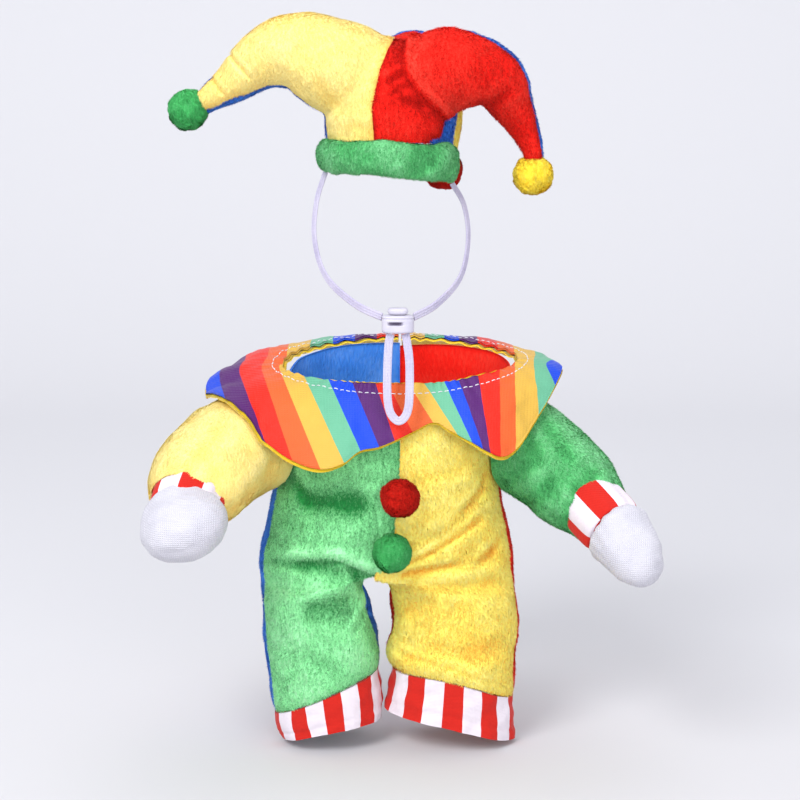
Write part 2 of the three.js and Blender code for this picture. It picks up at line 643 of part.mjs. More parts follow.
function sphere(radius, centre) {
  const geometry = new THREE.SphereGeometry(radius, 12, 8);
  geometry.deleteAttribute('normal');
  geometry.deleteAttribute('uv');
  const merged = mergeVertices(geometry.translate(...centre));
  const points = [];
  for (let i = 0; i < merged.attributes.position.count; i++) {
    points.push(new THREE.Vector3().fromBufferAttribute(merged.attributes.position, i));
  }
  const faces = [];
  for (let i = 0; i < merged.index.count; i += 3) {
    faces.push([...merged.index.array.slice(i, i + 3)]);
  }
  return { points, faces };
}

// A section straight on from a sleeve's end
function onward(sleeve, distance, radius) {
  const end = vector(['x', 'y', 'z'].map((axis) => sleeve.at(-1)[axis]));
  const before = vector(['x', 'y', 'z'].map((axis) => sleeve.at(-2)[axis]));
  const { x, y, z } = end.clone().addScaledVector(end.clone().sub(before).normalize(), distance);
  return { x, y, z, radius, flat: 1 };
}

// The false arms, cut to the body where they are sewn on, with their cuffs and mitts
function sleeves(envelope) {
  const arms = [
    ['left', SLEEVE_LEFT, CUFF_LEFT, MITT_LEFT, YELLOW],
    ['right', SLEEVE_RIGHT, CUFF_RIGHT, MITT_RIGHT, GREEN],
  ];
  for (const [name, sleeve, cuff, mitt, colour] of arms) {
    const arm = toManifold(stuffed(tubeRings(sleeve, 16, 9))).subtract(envelope);
    add(`sleeve_${name}`, fromManifold(arm), colour);
    const cuffEnd = GAP + CUFF_LENGTH;
    const cuffRows = [onward(sleeve, GAP, cuff.start), onward(sleeve, cuffEnd, cuff.end)];
    const root = [
      onward(sleeve, cuffEnd + GAP, cuff.end - 1.4),
      onward(sleeve, cuffEnd + MITT_ROOT, cuff.end + 1),
    ];
    add(`sleeve_cuff_${name}`, stuffed(tubeRings(cuffRows, 20, 1)), WHITE, 0.8);
    add(`mitt_${name}`, stuffed(tubeRings([...root, ...mitt], 14, 8)), WHITE, 0.85);
  }
}

function frontPompoms(envelope) {
  const pompoms = [
    ['upper', [0, -52.6, -46.2], RED],
    ['lower', [-3.9, -50.4, -73.8], GREEN],
  ];
  for (const [name, centre, colour] of pompoms) {
    add(`pompom_${name}`, fromManifold(toManifold(sphere(POMPOM_RADIUS, centre)).subtract(envelope)), colour);
  }
}

const OUTSIDE = { sides: 12, steps: 9, round: 22 };
const HOLLOW = { sides: 8, steps: 7, round: 14 };

function crown(shrink, bottom, detail) {
  const rings = [];
  const rows = CROWN_ROWS.map((row, index) => (index === 0 ? { ...row, z: bottom } : row));
  const perRow = 1.5;
  for (let step = 0; step <= perRow * (rows.length - 1); step++) {
    const row = between(rows, step / perRow);
    const ring = [];
    for (let side = 0; side < detail.round; side++) {
      const angle = (side / detail.round) * 2 * Math.PI;
      const x = row.x + (row.width - shrink) * Math.cos(angle);
      const y = (row.depth - shrink) * Math.sin(angle);
      ring.push(new THREE.Vector3(x, y, row.z - (step ? shrink / 2 : 0)));
    }
    rings.push(ring);
  }
  return toManifold(stuffed(rings));
}

function hatBody(shrink, bottom, detail) {
  let body = crown(shrink, bottom, detail);
  for (const horn of [HORN_LEFT, HORN_RIGHT, HORN_BACK]) {
    body = body.add(toManifold(stuffed(tubeRings(horn, detail.sides, detail.steps, shrink))));
  }
  return body;
}

const BAND_SIDES = 10;

// The hat band's roll: `grow` makes the larger copy that clears it
function bandShape(grow, sides) {
  const rings = [];
  const turns = 28;
  for (let turn = 0; turn < turns; turn++) {
    const angle = (turn / turns) * 2 * Math.PI;
    const [c, s] = [Math.cos(angle), Math.sin(angle)];
    const ring = [];
    for (let side = 0; side < sides; side++) {
      const around = (side / sides) * 2 * Math.PI;
      const out = (BAND_ROLL + grow) * Math.cos(around);
      const x = BAND_CENTRE[0] + (BAND_WIDTH + out) * c;
      const y = BAND_CENTRE[1] + (BAND_DEPTH + out) * s;
      const middle = BAND_MIDDLE - 1.9 * c - 2 * s;
      const height = BAND_HEIGHT + 0.9 * c + grow;
      ring.push(new THREE.Vector3(x, y, middle + height * Math.sin(around)));
    }
    rings.push(ring);
  }
  const points = rings.flat();
  const faces = [];
  const at = (r, c) => (r % turns) * sides + (c % sides);
  for (let r = 0; r < turns; r++) {
    for (let c = 0; c < sides; c++) {
      quad(faces, at(r, c), at(r, c + 1), at(r + 1, c + 1), at(r + 1, c));
    }
  }
  return solid(points, faces);
}

// How far back the seam of the hat's front and back panels lies at a place seen from the front
function hatSeamDepth(x, z) {
  let [sum, weights] = [0, 0];
  for (const row of HAT_SEAM) {
    const weight = 1 / ((x - row.x) ** 2 + (z - row.z) ** 2 + 9) ** 1.5;
    sum += weight * row.y;
    weights += weight;
  }
  return sum / weights;
}

const FAR = 130; // past everything that a cutting block has to reach
const HAT_SPAN = [-125, 95]; // x past the horns' tips
const HAT_HEIGHTS = [90, 200]; // z past the hat's ends
const BACK_HORN_START = 30; // y where the back horn's cloth starts

// A block behind the seam of the hat's front and back panels, moved back by `shift`
function behindSeam(shift) {
  const front = [];
  const back = [];
  for (let z = HAT_HEIGHTS[0]; z <= HAT_HEIGHTS[1]; z += 11) {
    const line = [];
    const far = [];
    for (let x = HAT_SPAN[0]; x <= HAT_SPAN[1]; x += 10) {
      line.push(new THREE.Vector3(x, hatSeamDepth(x, z) + shift, z));
      far.push(new THREE.Vector3(x, FAR, z));
    }
    front.push(line);
    back.push(far);
  }
  return toManifold(wall(front, back, false));
}

// A block to the left of the front seam, moved to the right by `shift`
function leftOfSeam(shift) {
  const seam = [];
  const far = [];
  for (let place = 0; place <= HAT_FRONT_SEAM.length - 1; place += 0.25) {
    const row = between(HAT_FRONT_SEAM, place);
    seam.push([-FAR, FAR].map((y) => new THREE.Vector3(row.x + shift, y, row.z)));
    far.push([-FAR, FAR].map((y) => new THREE.Vector3(-FAR, y, row.z)));
  }
  return toManifold(wall(seam, far, false));
}

function hat() {
  const hollow = hatBody(PLUSH, HAT_HEIGHTS[0], HOLLOW);
  const bandRoom = toManifold(bandShape(GAP, BAND_SIDES));
  // The crown ends where the roll hides it
  const hidden = toManifold(stuffed([BAND_MIDDLE, HAT_HEIGHTS[0]].map(underCrown)));
  let shell = hatBody(0, CROWN_ROWS[0].z, OUTSIDE).subtract(hollow).subtract(bandRoom).subtract(hidden);
  const pompoms = [
    ['left', HORN_LEFT, GREEN],
    ['right', HORN_RIGHT, YELLOW],
    ['back', HORN_BACK, RED],
  ];
  for (const [name, horn, colour] of pompoms) {
    const tip = horn[horn.length - 1];
    const centre = [tip.x, tip.y, tip.z];
    shell = shell.subtract(toManifold(sphere(HAT_POMPOM_RADIUS + GAP, centre)));
    add(`hat_pompom_${name}`, sphere(HAT_POMPOM_RADIUS, centre), colour);
  }
  const backHorn = toManifold(stuffed(tubeRings(HORN_BACK, OUTSIDE.sides, OUTSIDE.steps)));
  const aroundHorn = toManifold(stuffed(tubeRings(HORN_BACK, OUTSIDE.sides, OUTSIDE.steps, -GAP)));
  const backOfCrown = toManifold(wall(...slab(BACK_HORN_START), false));
  const backOfCrownRoom = toManifold(wall(...slab(BACK_HORN_START - GAP), false));
  const horn = shell.intersect(backHorn).intersect(backOfCrown);
  const rest = shell.subtract(aroundHorn.intersect(backOfCrownRoom));
  const back = rest.intersect(behindSeam(GAP));
  const front = rest.subtract(behindSeam(0));
  add('hat_back_horn', fromManifold(horn), YELLOW);
  add('hat_front_left', fromManifold(front.intersect(leftOfSeam(0))), YELLOW);
  add('hat_front_right', fromManifold(front.subtract(leftOfSeam(GAP))), RED);
  add('hat_back_left', fromManifold(back.intersect(leftOfSeam(0))), BLUE);
  add('hat_back_right', fromManifold(back.subtract(leftOfSeam(GAP))), BLUE);
  add('hat_band', bandShape(0, BAND_SIDES), GREEN);
}

// The corners, at a height, of a block that reaches past the crown's sides but not to the horns' tips
function underCrown(z) {
  return [[-45, -40], [35, -40], [35, 42], [-45, 42]].map(([x, y]) => new THREE.Vector3(x, y, z));
}

// The two grids of a block that lies behind a plane across the hat
function slab(depth) {
  const grid = (y) => HAT_HEIGHTS.map((z) => [-FAR, FAR].map((x) => new THREE.Vector3(x, y, z)));
  return [grid(depth), grid(FAR)];
}

function elastic(name, route, steps) {
  const [thickness, width] = ELASTIC;
  const section = new THREE.Shape();
  for (let side = 0; side < 8; side++) {
    const angle = ((side + 0.5) / 8) * 2 * Math.PI;
    const [x, y] = [(thickness / 2) * Math.cos(angle), (width / 2) * Math.sin(angle)];
    if (side) {
      section.lineTo(x, y);
    } else {
      section.moveTo(x, y);
    }
  }
  const extrudePath = new THREE.CatmullRomCurve3(route.map(vector));
  addMesh(name, new THREE.ExtrudeGeometry(section, { steps, extrudePath }), WHITE, 0.6);
}

const LOCK_BEVEL = 1.2;

// A cord lock part: an oval standing on its lowest middle point, with its edges rounded off
function lockPart(name, [x, y, z], [width, depth, height]) {
  const section = new THREE.Shape();
  section.absellipse(0, 0, width / 2, depth / 2, 0, 2 * Math.PI, false, 0);
  const geometry = new THREE.ExtrudeGeometry(section, {
    depth: height - 2 * LOCK_BEVEL,
    bevelThickness: LOCK_BEVEL,
    bevelSize: LOCK_BEVEL,
    bevelOffset: -LOCK_BEVEL,
    bevelSegments: 2,
    curveSegments: 7,
  });
  geometry.translate(x, y, z + LOCK_BEVEL);
  addMesh(name, geometry, WHITE, 0.35);
}

function chinFastening() {
  elastic('strap_left', STRAP_LEFT, 14);
  elastic('strap_right', STRAP_RIGHT, 14);
  elastic('chin_loop', CHIN_LOOP, 26);
  const [x, y, z] = TOGGLE_CENTRE;
  const base = z - TOGGLE_SIZE[2] / 2;
  lockPart('toggle_body', [x, y, base], TOGGLE_SIZE);
  lockPart('toggle_button', [x, y, base + TOGGLE_SIZE[2] + GAP], BUTTON_SIZE);
}

const TAB_ROWS = [0.5, 2.6]; // places down the body where the back tab starts and ends
const TAB_LIFT = 0.6; // between the back and its tab

// The hook-and-loop tab that closes the centre back, made from the back's own points, moved out
function backClosure() {
  const outer = [];
  const inner = [];
  for (let place = TAB_ROWS[0]; place <= TAB_ROWS[1]; place += 0.35) {
    const line = [];
    const behind = [];
    for (const [rows, folds, sidewards, turn] of [
      [LEFT_ROWS, LEFT_FOLDS, -1, 258],
      [LEFT_ROWS, LEFT_FOLDS, -1, 264],
      [RIGHT_ROWS, RIGHT_FOLDS, 1, 264],
      [RIGHT_ROWS, RIGHT_FOLDS, 1, 258],
    ]) {
      const point = bodyPoint(rows, folds, place, turn, sidewards);
      const normal = bodyNormal(rows, folds, place, turn, sidewards);
      line.push(point.clone().addScaledVector(normal, TAB_LIFT + COTTON));
      behind.push(point.clone().addScaledVector(normal, TAB_LIFT));
    }
    outer.push(line);
    inner.push(behind);
  }
  add('back_closure', wall(outer, inner, false), BLUE, 0.95);
}

suitBody();
backClosure();
legCuffs();
collarLayer('collar', ORANGE, 0.4, 0, 0);
collarLayer('collar_lining', YELLOW, 0.5, SATIN + LAYER_GAP, LINING_EDGE);
const envelope = bodyEnvelope(SEAT_GAP);
sleeves(envelope);
frontPompoms(envelope);
hat();
chinFastening();

export default root;
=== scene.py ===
import bmesh
import bpy
import numpy as np
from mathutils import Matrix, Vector


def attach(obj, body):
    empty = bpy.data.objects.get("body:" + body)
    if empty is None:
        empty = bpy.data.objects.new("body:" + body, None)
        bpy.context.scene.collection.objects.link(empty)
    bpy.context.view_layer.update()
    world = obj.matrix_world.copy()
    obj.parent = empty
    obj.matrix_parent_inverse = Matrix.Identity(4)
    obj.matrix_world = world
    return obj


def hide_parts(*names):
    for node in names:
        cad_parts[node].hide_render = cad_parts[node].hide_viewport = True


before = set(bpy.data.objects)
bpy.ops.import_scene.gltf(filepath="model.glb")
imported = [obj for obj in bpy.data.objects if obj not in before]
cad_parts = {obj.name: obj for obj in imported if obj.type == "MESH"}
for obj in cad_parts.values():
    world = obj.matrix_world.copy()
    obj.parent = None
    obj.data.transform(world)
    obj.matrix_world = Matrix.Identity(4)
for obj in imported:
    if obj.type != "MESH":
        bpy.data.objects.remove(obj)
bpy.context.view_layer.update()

MM = 0.001
GAP = 0.3  # between two pieces at a seam
SEAM_GAP = 0.05  # between two panels that are sewn together
LAYER_GAP = 0.8  # between the collar's two layers
PLUSH = 3.0  # plush with its pile
PILE_INSET = 0.8  # from the solid's face to the cloth that the pile stands on
SATIN, COTTON = 1.0, 1.6
NECK_WIDTH, NECK_DEPTH = 58.5, 42.5  # half sizes of the collar's neck edge
LINING_EDGE = 0.0245  # how far the lining passes the satin, as a share of the collar's reach
SIDE_SEAM_LEFT, SIDE_SEAM_RIGHT = 167, 171  # degrees round the body
POMPOM_RADIUS, HAT_POMPOM_RADIUS = 9.6, 10.2
BAND_WIDTH, BAND_DEPTH, BAND_X, BAND_ROLL = 31.2, 34.0, -5.6, 4.8
SEAM_EASE = 9.0  # beside the front seam, where the cloth comes to face straight on
COLLAR_CLEARANCE = 4.8  # from an arm's solid to the collar that rests on it
RIPPLE_WAVES = 18  # summed for one set of ripples

# Rows of the suit's body from neck to hem:
# inner, outer, seam, side, front, back, middle, start, end, bow, rise
LEFT_ROWS = [
    (5, 7.4, 0, -57.2, -40.4, 41.6, 0, 90, 270, -0.6, 10.6),
    (-8, -5, 0, -57, -43, 43, 0, 90, 270, 0, 8),
    (-24, -22, 0, -59, -45.5, 45, 0, 90, 270, 0, 4),
    (-40, -40, -0.4, -61.5, -46, 45, 0, 90, 262, 0, 0),
    (-54, -56, -1.6, -65, -45.5, 44, 0, 90, 232, 0, 0),
    (-68, -72, -3, -68.5, -44, 42, 0, 90, 222, 0, 0),
    (-80, -87, -7.5, -71.5, -42, 39, -1, 90, 226, 0, 0),
    (-88.5, -98, -12, -70.8, -40, 35, -3, 90, 238, 0, 0),
    (-92.5, -105, -16.5, -70.3, -39, 29, -6, 55, 264, 0, 0),
    (-101, -113, -16, -69.8, -38, 22, -9, 24, 318, 0, 0),
    (-112, -122, -14.2, -69.5, -37, 19, -10, 14, 374, 0, 0),
    (-124, -135, -10.8, -68.6, -36.5, 17, -10, 4, 364, 0, 0),
    (-133, -149, -9.6, -66.4, -36, 16, -10, 0, 360, 0, 0),
    (-141.5, -164.5, -9.2, -65.1, -35, 15, -10, 0, 360, 1, 0),
]
RIGHT_ROWS = [
    (5, 9.4, 0, 57.2, -40.4, 41.6, 0, 90, 270, -1.2, 9.4),
    (-8, -5, 0, 54.4, -43, 43, 0, 90, 270, 0, 8),
    (-24, -22, 0, 52.4, -45.5, 45, 0, 90, 270, 0, 4),
    (-40, -40, -0.4, 50.5, -46, 45, 0, 90, 262, 0, 0),
    (-54, -56, -1.6, 51.6, -45.5, 44, 0, 90, 232, 0, 0),
    (-68, -71, -3, 54.8, -44, 42, 0, 90, 222, 0, 0),
    (-80, -85, -7.5, 57.3, -42, 39, -1, 90, 226, 0, 0),
    (-88.5, -98, -12, 58.6, -40, 35, -3, 90, 238, 0, 0),
    (-91.5, -105, -9, 59.2, -39, 29, -6, 55, 264, 0, 0),
    (-99, -112, -6.6, 60, -38, 22, -9, 24, 318, 0, 0),
    (-110, -120, -4.6, 60.1, -37.5, 19, -10, 14, 374, 0, 0),
    (-122, -132, -4.8, 59.3, -37.5, 17, -10, 4, 364, 1, 0),
    (-132, -145, -7.8, 58.6, -37.5, 16, -10, 0, 360, 3, 0),
    (-141, -156, -6, 58.4, -36.5, 15, -10, 0, 360, 5, 0),
]
LEFT_CUFF_ROWS = [
    (-142, -165, -10.6, -64, -33.8, 13.8, -10, 0, 360, 1, 0),
    (-155, -172, -9.2, -63, -34, 14, -10, 0, 360, 1.5, 0),
    (-167.5, -178, -9.2, -60.5, -34.5, 14.5, -10, 0, 360, 2.5, 0),
]
RIGHT_CUFF_ROWS = [
    (-141.5, -156.5, -4.4, 57, -35.3, 13.8, -10, 0, 360, 5, 0),
    (-152, -168, -6, 57.4, -35.4, 14.5, -10, 0, 360, 4.5, 0),
    (-162.5, -179, -8, 58, -35.6, 15, -10, 0, 360, 3, -4),
]
LEFT_FOLDS = [
    (-60, -44, -44, -53, 5, 2.4),
    (-48, -46, -24, -51, 7, 2.2),
    (-64, -81, -15, -91, 5, 3.4),
    (-29, -88, -20, -103, 4, 1.8),
    (-43, -107, -24, -112, 6, 2.2),
]
RIGHT_FOLDS = [
    (2, -76, 38, -61, 4.5, 2.6),
    (5, -87, 28, -84, 4, 1.8),
    (44, -42, 31, -59, 4.5, 2.2),
    (53, -65, 45, -81, 5, 2.2),
    (2, -128, 46, -131, 6, 1.6),
]
COLLAR_ROWS = [
    (-1.2, 78, 10, 19, 3),
    (-24, 77, 8, 19, 3),
    (-46, 71, 9, 18, 3),
    (-66, 58, 6, 17, 3),
    (-82, 38, 5, 15.5, 4),
    (-92, 20, 2.5, 13.5, 4),
    (-97.2, 3, 0.4, 11, 4),
    (-93.5, -14, -6, 10, 4),
    (-81.8, -34, -12, 9.3, 4),
    (-65.6, -48, -19, 8.8, 3),
    (-51.9, -57, -26.5, 8.5, 3),
    (-38.5, -60, -30.3, 8.2, 2.5),
    (-27.6, -58, -28.3, 8.1, 2),
    (-19.1, -54.5, -22.6, 8.1, 1),
    (-10, -53.5, -20.8, 8.1, 1),
    (-1.9, -52, -17.8, 8.1, 0.5),
    (7, -50.5, -13.6, 8.1, 0.5),
    (16.3, -49.5, -9.6, 8.1, 0.5),
    (24.5, -51.5, -13.8, 8.3, 1),
    (37.3, -54, -20, 8.8, 2),
    (47.8, -53, -25.6, 9.5, 3),
    (56.5, -46, -22.9, 10.5, 3.5),
    (67.8, -31, -9.3, 11.8, 3),
    (77, -15, 3.5, 13.2, 2),
    (81, -1, 10, 14, 1),
    (79, 18, 9, 15, 2),
    (70, 42, 7, 16.5, 3),
    (56, 60, 9, 17.8, 3),
    (40, 72, 7, 18.6, 3),
    (20, 77, 9, 19, 3),
    (1.2, 78, 10, 19, 3),
]
SLEEVE_LEFT = [
    (-40, 0, -15, 21, 1),
    (-56, -3, -20, 24.5, 1),
    (-70, -10, -25, 26, 1),
    (-84, -24, -30, 26.5, 1),
    (-93, -40, -35.5, 26, 1),
    (-98.5, -55, -41.5, 23.5, 1),
    (-100.6, -65, -47, 18.8, 1),
]
SLEEVE_RIGHT = [
    (34, 4, -14, 21, 1),
    (48, 0, -21, 24, 1),
    (60, -7, -28.5, 24.5, 1),
    (73, -17, -36.5, 23.5, 1),
    (84, -29, -44.5, 22.5, 1),
    (92, -39, -51.2, 19.6, 1),
    (97.3, -46.5, -56, 16.4, 1),
]
MITT_LEFT = [
    (-100.8, -84, -52.4, 21, 0.77),
    (-100.4, -93, -53.2, 19.4, 0.75),
    (-100.8, -101, -54, 14.2, 0.75),
    (-101, -105.5, -54.6, 5.8, 0.76),
]
MITT_RIGHT = [
    (108, -62, -66.6, 15.8, 0.92),
    (112.4, -69, -72.4, 14, 0.9),
    (116.8, -75.5, -77.2, 9.8, 0.9),
    (119.2, -78.6, -79.2, 4.2, 0.9),
]
CROWN_ROWS = [
    (112, -5.4, 31.4, 34),
    (124, -5.2, 32, 34.5),
    (136, -4.6, 33, 34),
    (148, -4, 31, 32),
    (159, -3, 27, 28),
    (168, -2.5, 19, 20),
    (172.8, -2.5, 9, 10),
]
HORN_LEFT = [
    (-12, -2, 151, 22, 1),
    (-29, -2.5, 156.5, 26.5, 0.9),
    (-49.6, -1.5, 164.3, 22.3, 0.9),
    (-65.3, 0, 161.6, 18, 0.9),
    (-80.5, 1, 151, 12.2, 0.92),
    (-94.5, 1, 141.6, 7.4, 1),
    (-103.6, 1, 136.4, 6.2, 1),
]
HORN_RIGHT = [
    (6, -9, 153, 11, 1),
    (12, -9.5, 155, 18.5, 0.95),
    (25.2, -8, 156.6, 21.6, 0.95),
    (45.2, -4, 152, 17.4, 0.95),
    (54.4, 0, 139, 12.6, 0.95),
    (61.3, 2, 126.6, 8.8, 1),
    (65.4, 2, 114.6, 6.2, 1),
    (65.5, 2, 104.6, 5.6, 1),
]
HORN_BACK = [
    (-1, 8, 152, 20, 1),
    (7, 27, 156, 19.5, 1),
    (16, 44, 148.5, 16, 1),
    (21.8, 54, 132, 12, 1),
    (23.4, 57, 116, 8, 1),
    (22.4, 57, 103, 5.8, 1),
]
HAT_SEAM = [
    (-104, 150, 3),
    (-94, 134, -2.5),
    (-80, 165, 5),
    (-79, 139, -4.5),
    (-50, 187, 6),
    (-55, 144, -6),
    (-40, 122, -5),
    (-8, 175, 6),
    (4, 178, 24),
    (14, 178, 20),
    (30, 181, -8),
    (40, 178, -10),
    (52, 170, -10),
    (60, 157, -8),
    (72, 124, -1),
    (57, 118, 4),
    (40, 136, 4),
    (31, 138, -3),
    (24, 128, -17),
    (15, 120, -26),
]
HAT_FRONT_SEAM = [
    (100, -12.4),
    (122, -12.8),
    (140, -13.8),
    (157, -10),
    (168, -5.8),
    (176, -1),
    (200, 2),
]
LEFT, RIGHT = -1, 1


def between(rows, place):
    """The columns of a table at places between its rows, by a smooth curve through them."""
    rows = np.asarray(rows, float)
    last = len(rows) - 1
    place = np.asarray(place, float)
    row = np.clip(np.floor(place), 0, last - 1).astype(int)
    t = (place - row)[..., None]
    a, b, c, d = (rows[np.clip(row + k, 0, last)] for k in (-1, 0, 1, 2))
    bend = 2 * a - 5 * b + 4 * c - d
    twist = -a + 3 * b - 3 * c + d
    return b + 0.5 * t * (c - a + t * (bend + t * twist))


def unit(v):
    return v / np.maximum(np.linalg.norm(v, axis=-1, keepdims=True), 1e-9)


def smooth_step(low, high, value):
    t = np.clip((value - low) / (high - low), 0, 1)
    return t * t * (3 - 2 * t)


def bell(value, width, power=2):
    """1 where a value is 0, falling away smoothly over a width."""
    return np.exp(-((value / width) ** power))


def full_turn(count):
    """Angles spread evenly round a circle."""
    return np.linspace(0, 2 * np.pi, count, endpoint=False)


def ripples(points, wavelength, seed):
    """Smooth uneven waves between about -1 and 1 at points in space."""
    rng = np.random.default_rng(seed)
    flat = np.asarray(points).reshape(-1, 3)
    total = np.zeros(len(flat))
    for _ in range(RIPPLE_WAVES):
        direction = unit(rng.normal(size=3)) * 2 * np.pi / (wavelength * rng.uniform(0.7, 1.6))
        total += np.sin(flat @ direction + rng.uniform(0, 2 * np.pi))
    return (total / np.sqrt(RIPPLE_WAVES)).reshape(np.shape(points)[:-1])


def from_line(line, x, z):
    """For places seen from the front: the share along a line, the distance from it and that to its left."""
    x0, z0, x1, z1 = line
    dx, dz = x1 - x0, z1 - z0
    length = np.hypot(dx, dz)
    along = ((x - x0) * dx + (z - z0) * dz) / length**2
    t = np.clip(along, 0, 1)
    away = np.hypot(x - x0 - t * dx, z - z0 - t * dz)
    return along, away, ((z - z0) * dx - (x - x0) * dz) / length


def creases(table, points, facing):
    """Height at points from creases seen from the front or the back: x0, z0, x1, z1, width, depth, ridge.
    A trough runs between the two places, and a ridge along its left side as it runs."""
    x, z = points[..., 0], points[..., 2]
    height = np.zeros(x.shape)
    for *line, width, depth, ridge in table:
        along, away, side = from_line(line, x, z)
        fade = bell(np.maximum(np.abs(along - 0.5) - 0.35, 0), 0.4)
        height -= depth * bell(away, width) * fade
        height += ridge * bell(side - 1.6 * width, width) * fade * (np.abs(along - 0.5) < 1.2)
    return height * np.clip(facing, 0, 1) ** 0.5


def fold_at(folds, x, z):
    """Height of the suit's main folds, which its solids have too: x0, z0, x1, z1, width, depth."""
    height = np.zeros(np.shape(x))
    for *line, width, depth in folds:
        height -= depth * bell(from_line(line, x, z)[1], width)
    return height


def body_point(rows, folds, place, turn, side):
    """A place on the suit's body: place counts rows from the neck, turn is in degrees round the row."""
    row = between(rows, place)
    inner, outer, seam, flank, front, back, middle, start, _, bow, rise = np.moveaxis(row, -1, 0)
    opening = np.cos(np.radians(np.clip(start, 0, 90)))
    seam = seam + side * SEAM_GAP / 2
    centre = (seam + flank * opening) / (1 + opening)
    width = np.abs(flank - centre)
    c, s = np.cos(np.radians(turn)), np.sin(np.radians(turn))
    x = centre - side * width * c
    depth = np.where(s > 0, middle - front, back - middle)
    across = np.clip((x - seam) / (flank - seam), 0, 1)
    z = inner + (outer - inner) * across
    z = z + bow * np.maximum(s, 0) * 4 * across * (1 - across) + rise * np.maximum(-s, 0) ** 1.1
    fold = fold_at(folds, x, z) * np.maximum(s, 0) ** 0.5
    return np.stack([x, middle - (depth + fold) * s, z], -1)


def body_normal(rows, folds, place, turn, side):
    def near(p, t):
        return body_point(rows, folds, p, t, side)

    down = near(place + 0.04, turn) - near(place - 0.04, turn)
    normal = unit(np.cross(near(place, turn + 1) - near(place, turn - 1), down) * -side)
    row = between(rows, place)
    straight = np.clip((row[..., 7] - 55) / 35, 0, 1)
    beside = np.clip(np.abs(near(place, turn)[..., 0] - row[..., 2]) / SEAM_EASE, 0, 1)
    normal[..., 0] *= 1 - straight * (1 - beside)
    return unit(normal)


def grid_faces(rows, columns, round_=False):
    """Quads of a grid of points counted row by row, closed on itself where round_ is set."""
    r, c = np.meshgrid(np.arange(rows - 1), np.arange(columns if round_ else columns - 1), indexing="ij")
    low, high, after = r * columns, (r + 1) * columns, (c + 1) % columns
    return np.stack([low + c, low + after, high + after, high + c], -1).reshape(-1, 4)


def shell(outer, inner, round_=False):
    """The points and quads of a closed cloth wall between two grids of points."""
    rows, columns = outer.shape[:2]
    count = rows * columns
    grid = grid_faces(rows, columns, round_)
    faces = [grid, grid[:, ::-1] + count]
    index = np.arange(count).reshape(rows, columns)
    edges = [(index[0], False), (index[-1], True)]
    if not round_:
        edges += [(index[:, 0], True), (index[:, -1], False)]
    for edge, turned in edges:
        ends = edge if not round_ else np.append(edge, edge[0])
        a, b = (ends[:-1], ends[1:]) if turned else (ends[1:], ends[:-1])
        faces.append(np.stack([a, b, b + count, a + count], -1)[:, ::-1])
    body = np.concatenate([outer.reshape(-1, 3), inner.reshape(-1, 3)])
    return body, outward(body, np.concatenate(faces))


def both_sides(values):
    """A grid's values for the points of a shell."""
    return np.concatenate([values.reshape(-1)] * 2)


def outward(points, faces):
    """The faces turned so that the closed body's volume is positive."""
    a, b, c = points[faces[:, 0]], points[faces[:, 1]], points[faces[:, 2]]
    volume = np.einsum("ij,ij->i", a, np.cross(b, c)).sum()
    if faces.shape[1] == 4:
        d = points[faces[:, 3]]
        volume += np.einsum("ij,ij->i", a, np.cross(c, d)).sum()
    return faces[:, ::-1] if volume < 0 else faces


def new_object(name, points, faces, material, attributes=None, normals=None):
    """A mesh object from points in mm, with named float attributes for its points."""
    mesh = bpy.data.meshes.new(name)
    mesh.vertices.add(len(points))
    mesh.vertices.foreach_set("co", (np.asarray(points) * MM).astype(np.float32).ravel())
    mesh.loops.add(faces.size)
    mesh.loops.foreach_set("vertex_index", faces.astype(np.int32).ravel())
    mesh.polygons.add(len(faces))
    mesh.polygons.foreach_set("loop_start", np.arange(0, faces.size, faces.shape[1], dtype=np.int32))
    mesh.polygons.foreach_set("use_smooth", np.full(len(faces), True))
    for key, values in (attributes or {}).items():
        layer = mesh.attributes.new(key, "FLOAT", "POINT")
        layer.data.foreach_set("value", np.asarray(values, np.float32).ravel())
    mesh.update(calc_edges=True)
    mesh.validate()
    if normals is not None:
        layer = mesh.attributes.new("custom_normal", "FLOAT_VECTOR", "POINT")
        layer.data.foreach_set("vector", np.asarray(normals, np.float32).ravel())
    mesh.materials.append(material)
    made = bpy.data.objects.new(name, mesh)
    bpy.context.scene.collection.objects.link(made)
    return made


def piece(name, points, faces, material, node=None, **more):
    """An object of the part, which rides on its body and takes a node's place where it names one."""
    made = new_object(name, points, faces, material, **more)
    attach(made, "root")
    if node:
        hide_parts(node)
    return made


def triangles_of(faces):
    return faces if faces.shape[1] == 3 else np.concatenate([faces[:, [0, 1, 2]], faces[:, [0, 2, 3]]])


# Short pile: one thin triangle for each tuft, leaning along the nap
PILE_SHARE = 1.0
STREAK = np.array([1.0, 1.0, 0.3])  # the pile's streaks are drawn out downwards
MOTTLE = {"pale_yellow_plush": 0.4}  # how uneven a colour's pile is, where it isn't 1
CALM_TILT = 1.36  # radians, of tufts where the pile is even
CLOTH_TIP, CORE_TIP = 0.55, 0.5  # painted shade of the cloth under the tufts: how light it is, from the tufts' shaded root 0 to their lit tip 1
